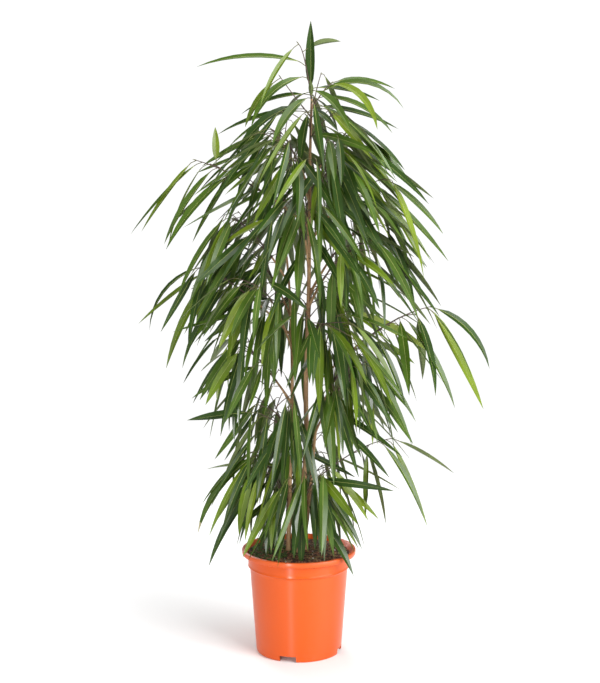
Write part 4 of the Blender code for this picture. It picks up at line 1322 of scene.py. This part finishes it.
class Foliage:
    """All the masses, grown in turn and joined by tier into leaves, ribs and twigs."""

    TWIG_STEPS = 8
    PAST_LEAF = 0.01        # how far a twig runs on past its outermost leaf
    SWELL = 0.25            # how much thicker it is at its root,
    SWELL_FADE = 30         # and how fast that fades
    BUD_STEPS = 4
    BUD_LENGTH = 0.007
    BUD_SIDE = 0.7          # how long a side twig's bud is to a main twig's
    BUD_ROOT = 0.05         # share of a bud's length that lies back in its twig
    BUD_RADIUS = 0.0010
    BUD_POINT = 0.00006
    BUD_WAIST = 0.3         # how far on in a half wave its outline starts
    STALK_STEPS = 3
    STALK_RADIUS = 0.00072
    STALK_REACH = 1.06      # it runs on a little under the blade
    RIB_STEPS = 8
    RIB_RADIUS = 0.00066
    RIB_ROOT = 1.03         # the rib's radius in these at its root, and one less at its tip

    def __init__(self, masses: list[Mass], space: Space) -> None:
        """Take the masses and what they must keep clear of."""
        self.masses = masses
        self.space = space
        self.blade = Blade()
        self.rib = Rod(4, self.RIB_STEPS)
        self.stalk = Rod(4, self.STALK_STEPS)
        self.twig = Rod(6, self.TWIG_STEPS)
        self.bud = Rod(5, self.BUD_STEPS + 1)

    def grow(self) -> None:
        """Grow all twigs, then the leaves with places of their own, then all the others."""
        for mass in self.masses:
            mass.grow_twigs(self.space)
        for mass in self.masses:
            mass.grow_accents(self.space, self.blade)
        for mass in self.masses:
            mass.grow_leaves(self.space, self.blade)
        log.info("leaves: %d of %d", sum(len(m.leaves) for m in self.masses),
                 sum(m.goal for m in self.masses))

    def dress(self) -> None:
        """Join each tier's leaves, ribs and twigs into pieces."""
        slots = {shade: k for k, shade in enumerate(Shade)}
        leaf_paints = [shade.value.material() for shade in Shade]
        rib_paints = [RIB_FINISH.material(), STALK_FINISH.material()]
        twig_paints = [TWIG_FINISH.material(), SHOOT_FINISH.material()]
        zones: dict[str, list[Mass]] = {}
        for mass in self.masses:
            zones.setdefault(mass.spray.zone, []).append(mass)
        for zone, masses in zones.items():
            nodes = ["foliage_" + mass.spray.name for mass in masses]
            leaves, ribs, twigs = bmesh.new(), bmesh.new(), bmesh.new()
            for mass in masses:
                for leaf in mass.leaves:
                    leaf.lay(leaves, self.blade, slots)
                    self._lay_rib(ribs, leaf)
                for twig in mass.twigs:
                    self._lay_twig(twigs, twig)
            finish_piece("leaves_" + zone, leaves, leaf_paints, GREEN_CREASE, BODY,
                         nodes)
            finish_piece("ribs_" + zone, ribs, rib_paints, math.pi, BODY, nodes)
            finish_piece("twigs_" + zone, twigs, twig_paints, math.pi, BODY, nodes)

    def _lay_rib(self, work: bmesh.types.BMesh, leaf: Leaf) -> None:
        """Lay a leaf's petiole and, along the blade, its midrib that tapers to the tip."""
        root = leaf.petiole / leaf.line.length
        stalk, rib = (Line([leaf.line.at(low + (high - low) * k / steps).place
                            for k in range(steps + 1)])
                      for low, high, steps in ((0.0, root * self.STALK_REACH, self.STALK_STEPS),
                                               (root, 1.0, self.RIB_STEPS)))
        self.stalk.lay(work, stalk, lambda share, angle: self.STALK_RADIUS, 1)
        self.rib.lay(work, rib, lambda share, angle: self.RIB_RADIUS * (self.RIB_ROOT - share))

    def _lay_twig(self, work: bmesh.types.BMesh, twig: Twig) -> None:
        """Lay a twig as far as its outermost leaf, and the pointed bud at its end."""
        if not twig.last:
            return
        reach = min(twig.last + self.PAST_LEAF, 1.0)
        line = Line([twig.line.at(reach * k / self.TWIG_STEPS).place
                     for k in range(self.TWIG_STEPS + 1)])

        def radius(share: float, angle: float) -> float:
            """An even taper, a little thicker at the root."""
            base = twig.root + (twig.tip - twig.root) * share
            return base * (1.0 + self.SWELL * math.exp(-share * self.SWELL_FADE))

        self.twig.lay(work, line, radius)
        end = line.at(1.0)
        length = self.BUD_LENGTH * (self.BUD_SIDE if twig.order else 1.0)
        points = [end.place + end.ahead * length * (k / self.BUD_STEPS - self.BUD_ROOT)
                  for k in range(self.BUD_STEPS + 1)]

        def bud_radius(share: float, angle: float) -> float:
            """A slim pointed bud."""
            turn = self.BUD_WAIST + (1.0 - self.BUD_WAIST) * share
            return max(self.BUD_RADIUS * math.sin(math.pi * turn) ** 0.8, self.BUD_POINT)

        self.bud.lay(work, Line(points), bud_radius, 1)


# ---------------------------------------------------------------- stems and boughs

class Limbs:
    """The stems and boughs, with the relief of their bark."""

    FLARE_HEIGHT = 0.010
    FLARE = 1.35
    SCAR_STEP = 0.031       # the ring scars that old leaves left, and how they stand out
    SCAR_RISE = 0.07
    SCAR_START = 0.9        # share of a step where a scar starts,
    SCAR_SLOPE = 10         # and how fast it then stands out
    ROUGHNESS = 0.055
    GRAIN = 1.6             # how fine the bark's relief is,
    GRAIN_ALONG = 40        # how fine along a stem,
    BOUGH_GRAIN = 9         # and along a bough
    COLLAR = 0.35           # how much thicker a bough is at its root,
    COLLAR_FADE = 14        # and how fast that fades
    STEM_STEPS = 90
    FOOT_STEPS = 8
    CLEAR_STEP = 6          # leaves keep clear of a line through every sixth point

    def __init__(self) -> None:
        """Set out the stems' lines."""
        self.soil_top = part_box("soil")[1][2]
        self.stem_rod = Rod(16, 130)
        self.bough_rod = Rod(10, 16)
        self.lines: dict[str, Line] = {}
        for stem in STEMS:
            foot = Vector(stem.points[0])
            foot.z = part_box(stem.name)[0][2]
            rest = smooth_points(stem.points[1:], self.STEM_STEPS)
            lower = [foot.lerp(rest[0], k / self.FOOT_STEPS) for k in range(self.FOOT_STEPS)]
            self.lines[stem.name] = Line(lower + rest)

    def radius_at(self, stem: Stem, height: float) -> float:
        """A stem's radius at a height: an even taper from the foot to the tip."""
        share = (height - self.soil_top) / (stem.points[-1][2] - self.soil_top)
        return stem.foot_radius + (stem.tip_radius - stem.foot_radius) * min(max(share, 0), 1)

    def place_at(self, name: str, height: float) -> Vector:
        """The point of a stem's line at a height."""
        points = self.lines[name].points
        for low, high in zip(points, points[1:]):
            if low.z <= height <= high.z:
                return low.lerp(high, (height - low.z) / (high.z - low.z))
        return points[-1].copy()

    def masses(self) -> list[Mass]:
        """The masses, each with its line set off from its stem."""
        stems = {stem.name: stem for stem in STEMS}
        masses = []
        for spray in SPRAYS:
            start = self.place_at(spray.stem, spray.height)
            wide = self.radius_at(stems[spray.stem], spray.height) * GROWTH.bough_share
            root = GROWTH.bough_root if spray.bare else GROWTH.twig_root
            masses.append(Mass(spray, start, min(root, wide)))
        return masses

    def shadow(self, space: Space, masses: list[Mass]) -> None:
        """Note the stems and boughs as things that leaves keep clear of."""
        for stem in STEMS:
            points = self.lines[stem.name].points
            space.add(*rod_tree(Line(points[::self.CLEAR_STEP] + [points[-1]]),
                                stem.foot_radius))
        for mass in masses:
            for bough in mass.boughs:
                space.add(*rod_tree(Line(bough.line.points[2::2]), GROWTH.bough_tip))

    def dress(self, masses: list[Mass]) -> None:
        """Make the bark pieces of the stems and of the boughs."""
        bark = STEM_FINISH.material()
        for stem in STEMS:
            work = bmesh.new()
            self.stem_rod.lay(work, self.lines[stem.name], self._stem_radius(stem))
            finish_piece(stem.name + "_bark", work, [bark], math.radians(60), BODY,
                         [stem.name])
        work = bmesh.new()
        carriers = [mass for mass in masses if mass.boughs]
        for mass in carriers:
            bough = mass.boughs[0]
            self.bough_rod.lay(work, bough.line, self._bough_radius(bough))
        finish_piece("boughs_bark", work, [bark], math.radians(60), BODY,
                     ["bough_" + mass.spray.name for mass in carriers])

    def _stem_radius(self, stem: Stem) -> Callable[[float, float], float]:
        """The radius of a stem along and round it, with its flare, scars and bark."""
        line = self.lines[stem.name]

        def radius(share: float, angle: float) -> float:
            """The radius at one point of the stem."""
            place = line.at(share).place
            size = self.radius_at(stem, place.z)
            over = max(place.z - line.points[0].z, 0.0)
            size *= 1.0 + (self.FLARE - 1.0) * max(1.0 - over / self.FLARE_HEIGHT, 0.0) ** 2
            ring = abs((over / self.SCAR_STEP) % 1.0 - 0.5) * 2
            size *= 1.0 + self.SCAR_RISE * max(ring - self.SCAR_START, 0.0) * self.SCAR_SLOPE
            way = Vector((math.cos(angle), math.sin(angle), place.z * self.GRAIN_ALONG))
            return size * (1.0 - self.ROUGHNESS * abs(noise.noise(way * self.GRAIN)))

        return radius

    def _bough_radius(self, bough: Twig) -> Callable[[float, float], float]:
        """The radius of a bough along it, with a collar at its root."""
        def radius(share: float, angle: float) -> float:
            """The radius at one point of the bough."""
            size = bough.root + (bough.tip - bough.root) * share
            way = Vector((math.cos(angle), math.sin(angle), share * self.BOUGH_GRAIN))
            return size * (1.0 + self.COLLAR * math.exp(-share * self.COLLAR_FADE)
                           - self.ROUGHNESS * abs(noise.noise(way)))

        return radius


# ---------------------------------------------------------------- pot and soil

@dataclass
class Pot:
    """The round moulded pot: its section, which is spun, and the notches in its foot."""

    height: float = 0.193
    rim_radius: float = 0.105
    lip_height: float = 0.0095
    lip_round: float = 0.002
    lip_width: float = 0.006
    lip_slope: float = 0.0095
    collar_radius: float = 0.0935
    collar_drop: float = 0.033
    collar_slope: float = 0.004
    body_top: float = 0.0905
    body_foot: float = 0.0787
    lip_relief: float = 0.0003      # how far up the lip's underside slopes
    bead: float = 0.0006            # how far the bead at the collar's foot stands out
    beading: tuple[tuple[int, float], ...] = (  # its section: beads out, height over the step
        (0, 0.0060), (0, 0.0042), (1, 0.0031), (1, 0.0018), (-1, 0.0006))
    bead_foot: float = 0.0008
    row: float = 0.006              # even rows at the wall's two ends keep its shading even
    foot_round: float = 0.003
    wall: float = 0.0020
    skirt: float = 0.0012
    floor_rise: float = 0.0140
    pad_radius: float = 0.032
    pad_slope: float = 0.004
    steps: int = 120
    crease: float = math.radians(30)
    notch: tuple[float, float, float] = (0.016, 0.031, 0.022)
    notch_count: int = 4
    notch_first: float = math.radians(255)

    def wall_radius(self, height: float) -> float:
        """Outer radius of the tapering wall at a height."""
        share = height / (self.height - self.collar_drop)
        return self.body_foot + share * (self.body_top - self.body_foot)

    def section(self) -> list[tuple[float, float]]:
        """The section: up the inside, over the lip, and down the outside to the pad."""
        step = self.height - self.collar_drop
        lip = self.height - self.lip_height
        inner = self.collar_radius - self.wall
        raised = self.floor_rise + self.wall
        skirt = self.body_foot - self.foot_round
        level = self.rim_radius - self.lip_width
        return [
            (0.0, self.wall),
            (self.pad_radius - self.pad_slope, self.wall),
            (self.pad_radius, raised),
            (self.wall_radius(raised) - self.wall, raised),
            (self.wall_radius(step) - self.wall, step),
            (inner, step + self.collar_slope),
            (inner, self.height - self.lip_slope),
            (level - self.lip_round * 0.4, self.height - self.lip_round * 0.5),
            (level + self.lip_round * 0.4, self.height),
            (self.rim_radius - self.lip_round, self.height),
            (self.rim_radius - self.lip_round * 0.3, self.height - self.lip_round * 0.3),
            (self.rim_radius, self.height - self.lip_round),
            (self.rim_radius, lip + self.lip_round),
            (self.rim_radius - self.lip_round * 0.3, lip + self.lip_round * 0.3),
            (self.rim_radius - self.lip_round, lip),
            (self.collar_radius + self.lip_round * 0.5, lip - self.lip_relief),
            (self.collar_radius, lip - self.lip_round * 0.6),
            *((self.collar_radius + out * self.bead, step + up) for out, up in self.beading),
            (self.wall_radius(step) + self.bead, step - self.bead_foot),
            (self.wall_radius(step), step - self.lip_round),
            (self.wall_radius(step - self.row), step - self.row),
            (self.wall_radius(self.row), self.row),
            (self.wall_radius(self.foot_round), self.foot_round),
            (self.wall_radius(self.foot_round) - self.foot_round * 0.3,
             self.foot_round * 0.3),
            (skirt, 0.0),
            (skirt - self.skirt, 0.0),
            (skirt - self.skirt, self.floor_rise),
            (self.pad_radius + self.wall, self.floor_rise),
            (self.pad_radius + self.wall - self.pad_slope, 0.0),
            (0.0, 0.0),
        ]

    def build(self) -> Object:
        """Spin the section and cut the notches."""
        work = spun(self.section(), self.steps)
        bmesh.ops.recalc_face_normals(work, faces=work.faces)
        pot = finish_piece("pot_shell", work, [POT_FINISH.material()], self.crease, BODY,
                           ["pot"])
        pot.data.shade_smooth()
        self._cut_notches(pot)
        pot.data.set_sharp_from_angle(angle=self.crease)
        return pot

    def _cut_notches(self, pot: Object) -> None:
        """Cut the drain notches through the foot."""
        work = bmesh.new()
        for k in range(self.notch_count):
            angle = self.notch_first + k * 2 * math.pi / self.notch_count
            place = (Matrix.Rotation(angle, 4, "Z")
                     @ Matrix.Translation((self.body_foot, 0.0, 0.0))
                     @ Matrix.Diagonal((*self.notch, 1.0)))
            bmesh.ops.create_cube(work, size=1.0, matrix=place)
        cutter = place_object("notches", mesh_of("notches", work))
        cut = pot.modifiers.new("notches", "BOOLEAN")
        cut.operation = "DIFFERENCE"
        cut.solver = "EXACT"
        cut.object = cutter
        graph = bpy.context.evaluated_depsgraph_get()
        pot_mesh = bpy.data.meshes.new_from_object(pot.evaluated_get(graph))
        pot.modifiers.clear()
        pot.data = pot_mesh
        bpy.data.objects.remove(cutter, do_unlink=True)


@dataclass(frozen=True)
class Bits:
    """Small rough bits of one kind that lie on the soil."""

    name: str
    finish: CrumbFinish
    count: int
    size: Range                             # their length
    shape: tuple[float, float, float]       # length, breadth and height as shares of that
    side: Range = (0.0, 2.0)                # where round the pot they lie, in half turns
    spread: Range = (0.02, 0.95)            # and how far out, as shares of the soil's area
    roughness: float = 0.14                 # how far their corners wander, by their length


@dataclass
class Soil:
    """The soil: a crumbly surface with bark chips, white grains and moss on it."""

    pot: Pot
    top: float = 0.187
    reach: float = 0.0930           # it lies up against the lip's slope
    edge_dip: float = 0.0006        # how far the surface falls by the wall,
    edge_start: float = 0.75        # from this share of its reach on
    sink: float = 0.0002
    shoulder: float = 0.0036        # how far down its side the wall turns upright
    gap: float = 0.0003
    rows: int = 46
    steps: int = 140
    lumps: float = 0.0016           # their height,
    lump_waves: float = 60.0        # and how many there are to the metre
    bits: tuple[Bits, ...] = (
        Bits("soil_chips", CHIP_FINISH, 620, (0.0022, 0.0055), (1.0, 0.55, 0.32)),
        Bits("soil_grains", GRAIN_FINISH, 34, (0.0011, 0.0026), (1.0, 0.9, 0.8)),
        Bits("soil_moss", MOSS_FINISH, 230, (0.0030, 0.0072), (1.0, 0.9, 0.22), (0.66, 1.30)),
    )
    fibres: int = 90
    fibre_radius: float = 0.00036
    fibre_length: Range = (0.012, 0.030)
    fibre_spread: Range = (0.05, 0.72)
    fibre_height: float = 0.0010    # how far over the soil their middles lie

    def height_at(self, x: float, y: float) -> float:
        """The surface's height at a place: lumpy, and lower at the edge."""
        far = math.hypot(x, y) / self.reach
        lump = noise.fractal(Vector((x, y, 0.0)) * self.lump_waves, 0.8, 2.0, 4)
        dip = self.edge_dip * max(far - self.edge_start, 0.0) * 4
        return self.top - dip - self.lumps * (1.0 - abs(lump)) * 0.8 - self.sink

    def build(self) -> Object:
        """Make the soil and what lies on it.

        Returns:
            The bed of soil.
        """
        bed = self._build_bed()
        rng = random.Random(SEED + 1)
        for bits in self.bits:
            self._scatter(bits, rng)
        self._strew_fibres(rng)
        return bed

    def _build_bed(self) -> Object:
        """The plug of soil: a disc of fine faces, lumpy on top, with sides down the wall."""
        work = spun([(self.reach * k / self.rows, 0.0) for k in range(self.rows + 1)],
                    self.steps)
        for vert in work.verts:
            vert.co.z = self.height_at(vert.co.x, vert.co.y)
        rim = [e for e in work.edges if e.is_boundary]
        floor = self.pot.height - self.pot.collar_drop
        rings = ((self.pot.collar_radius - self.pot.wall, self.top - self.shoulder),
                 (self.pot.wall_radius(floor) - self.pot.wall, floor))
        for radius, height in rings:
            wall = bmesh.ops.extrude_edge_only(work, edges=rim)["geom"]
            for vert in (g for g in wall if isinstance(g, bmesh.types.BMVert)):
                vert.co *= (radius - self.gap) / vert.co.xy.length
                vert.co.z = height
            rim = [g for g in wall if isinstance(g, bmesh.types.BMEdge) and g.is_boundary]
        bmesh.ops.contextual_create(work, geom=rim)
        bmesh.ops.recalc_face_normals(work, faces=work.faces)
        for face in work.faces:
            face.smooth = True
        return finish_piece("soil_bed", work, [SOIL_FINISH.material()], math.radians(60), BODY,
                            ["soil"])

    def _scatter(self, bits: Bits, rng: random.Random) -> None:
        """Scatter small rough bits of one kind over the soil."""
        work = bmesh.new()
        for _ in range(bits.count):
            angle = rng.uniform(*bits.side) * math.pi
            far = math.sqrt(rng.uniform(*bits.spread)) * self.reach
            x, y = far * math.cos(angle), far * math.sin(angle)
            length = rng.uniform(*bits.size)
            place = (Matrix.Translation((x, y, self.height_at(x, y)))
                     @ Matrix.Rotation(rng.uniform(0, 2 * math.pi), 4, "Z")
                     @ Matrix.Rotation(rng.uniform(-0.5, 0.5), 4, "X")
                     @ Matrix.Rotation(rng.uniform(-0.4, 0.4), 4, "Y")
                     @ Matrix.Diagonal((*(share * length for share in bits.shape), 1.0)))
            bit = bmesh.ops.create_icosphere(work, subdivisions=1, radius=1.0, matrix=place)
            for vert in bit["verts"]:
                nudge = Vector(rng.uniform(-1, 1) for _ in range(3))
                vert.co += nudge * length * bits.roughness
        finish_piece(bits.name, work, [bits.finish.material()], math.radians(40), BODY,
                     ["soil"])

    def _strew_fibres(self, rng: random.Random) -> None:
        """Strew thin bent fibres of old roots and straw over the soil."""
        work = bmesh.new()
        rod = Rod(4, 6)
        for _ in range(self.fibres):
            angle = rng.uniform(0, 2 * math.pi)
            far = math.sqrt(rng.uniform(*self.fibre_spread)) * self.reach
            place = Vector((far * math.cos(angle), far * math.sin(angle), 0.0))
            heading = rng.uniform(0, 2 * math.pi)
            length = rng.uniform(*self.fibre_length)
            points = bent_points(place, heading, even_bend(0.0, 0.0), length, 6,
                                 rng.uniform(-2.0, 2.0))
            for point in points:
                point.z = self.height_at(point.x, point.y) + self.fibre_height
            rod.lay(work, Line(points), lambda share, angle: self.fibre_radius * (1.2 - share))
        finish_piece("soil_fibres", work, [FIBRE_FINISH.material()], math.pi, BODY,
                     ["soil"])


# ---------------------------------------------------------------- studio

@dataclass(frozen=True)
class Lamp:
    """A soft rectangular lamp: where it stands, its size and its power."""

    name: str
    place: tuple[float, float, float]
    size: tuple[float, float]
    power: float


@dataclass
class Studio:
    """The pale floor, the soft lights and the camera."""

    camera_place: tuple[float, float, float] = (0.0022, -2.6, 0.92)
    camera_pitch: float = math.radians(7.5)
    focal_pixels: float = 1445.0
    frame_height: int = 683
    aim: tuple[float, float, float] = (0.0, 0.0, 0.6)
    floor_size: float = 1.5
    floor_glow: float = 0.04
    room_size: float = 14.0
    room_glow: float = 1.05
    ambient: float = 0.22
    lamps: tuple[Lamp, ...] = (
        Lamp("key", (1.9, -2.1, 2.1), (1.7, 1.7), 92.0),
        Lamp("side", (2.7, -1.3, 0.9), (1.6, 1.6), 38.0),
        Lamp("fill", (-2.4, -1.8, 1.6), (1.2, 1.8), 6.0),
        Lamp("top", (0.2, 0.1, 3.1), (2.0, 2.0), 44.0),
        Lamp("strip", (-0.92, -2.7, 0.55), (0.15, 1.1), 42.0),
        Lamp("back", (-0.8, 2.4, 2.0), (1.5, 1.5), 40.0),
    )

    def build(self) -> None:
        """Make everything that isn't part of the plant."""
        self._build_floor()
        self._build_backdrop()
        for lamp in self.lamps:
            self._build_lamp(lamp)
        self._build_world()
        self._build_camera()

    def _stage_piece(self, name: str, work: bmesh.types.BMesh, paint: Paint,
                     colour: Colour) -> Object:
        """Finish a piece that isn't part of the plant, in a flat colour and a white glow."""
        paint.colour(colour)
        paint.shader.inputs["Emission Color"].default_value = (1.0, 1.0, 1.0, 1.0)
        mesh = mesh_of(name, work)
        mesh.materials.append(paint.material)
        thing = place_object(name, mesh)
        thing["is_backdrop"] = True
        return thing

    def _build_floor(self) -> None:
        """A wide pale floor."""
        work = bmesh.new()
        bmesh.ops.create_circle(work, cap_ends=True, segments=64, radius=self.floor_size)
        paint = Paint("pale_floor", 0.9, Specular_IOR_Level=0.0,
                      Emission_Strength=self.floor_glow)
        self._stage_piece("floor", work, paint, (0.95, 0.95, 0.95))

    def _build_backdrop(self) -> None:
        """A white backdrop all round, which sheds no light on the plant."""
        work = bmesh.new()
        bmesh.ops.create_icosphere(work, subdivisions=4, radius=self.room_size)
        bmesh.ops.reverse_faces(work, faces=work.faces)
        paint = Paint("white_backdrop", 1.0, Specular_IOR_Level=0.0,
                      Emission_Strength=self.room_glow)
        backdrop = self._stage_piece("backdrop", work, paint, (0.0, 0.0, 0.0))
        for ray in ("diffuse", "glossy", "transmission", "volume_scatter", "shadow"):
            setattr(backdrop, "visible_" + ray, False)

    def _build_lamp(self, lamp: Lamp) -> None:
        """One soft lamp, turned to the plant."""
        data = bpy.data.lights.new(lamp.name, "AREA")
        data.shape = "RECTANGLE"
        data.size, data.size_y = lamp.size
        data.energy = lamp.power
        thing = place_object(lamp.name, data)
        thing.location = lamp.place
        way = Vector(self.aim) - Vector(lamp.place)
        thing.rotation_euler = way.to_track_quat("-Z", "Y").to_euler()
        thing.visible_camera = False

    def _build_world(self) -> None:
        """Dim light from all round, and colours shown as they are."""
        world = bpy.data.worlds.new("studio")
        world.use_nodes = True
        light = world.node_tree.nodes["Background"]
        light.inputs["Color"].default_value = (1.0, 1.0, 1.0, 1.0)
        light.inputs["Strength"].default_value = self.ambient
        bpy.context.scene.world = world
        bpy.context.scene.view_settings.view_transform = "Standard"

    def _build_camera(self) -> None:
        """The camera, a little above the plant's middle and tilted down."""
        data = bpy.data.cameras.new("camera")
        data.lens = self.focal_pixels / self.frame_height * data.sensor_width
        camera = place_object("camera", data)
        camera.location = self.camera_place
        camera.rotation_euler = (math.pi / 2 - self.camera_pitch, 0.0, 0.0)
        bpy.context.scene.camera = camera


def note_sizes(first: tuple[Vector, Vector]) -> None:
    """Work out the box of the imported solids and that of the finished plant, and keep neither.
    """
    boxes = {"cad": first, "visual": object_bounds()}
    {name: [list(low), list(high)] for name, (low, high) in boxes.items()}


def main() -> None:
    """Build the plant, its pot and the studio, piece by piece."""
    logging.basicConfig(level=logging.INFO, format="%(name)s %(message)s")
    solids_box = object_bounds()
    space = Space([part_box("foliage_" + spray.name) for spray in SPRAYS])
    pot = Pot()
    space.add_object(pot.build())
    space.add_object(Soil(pot).build())
    limbs = Limbs()
    masses = limbs.masses()
    limbs.shadow(space, masses)
    limbs.dress(masses)
    foliage = Foliage(masses, space)
    foliage.grow()
    foliage.dress()
    Studio().build()
    note_sizes(solids_box)


if __name__ == "__main__":
    main()
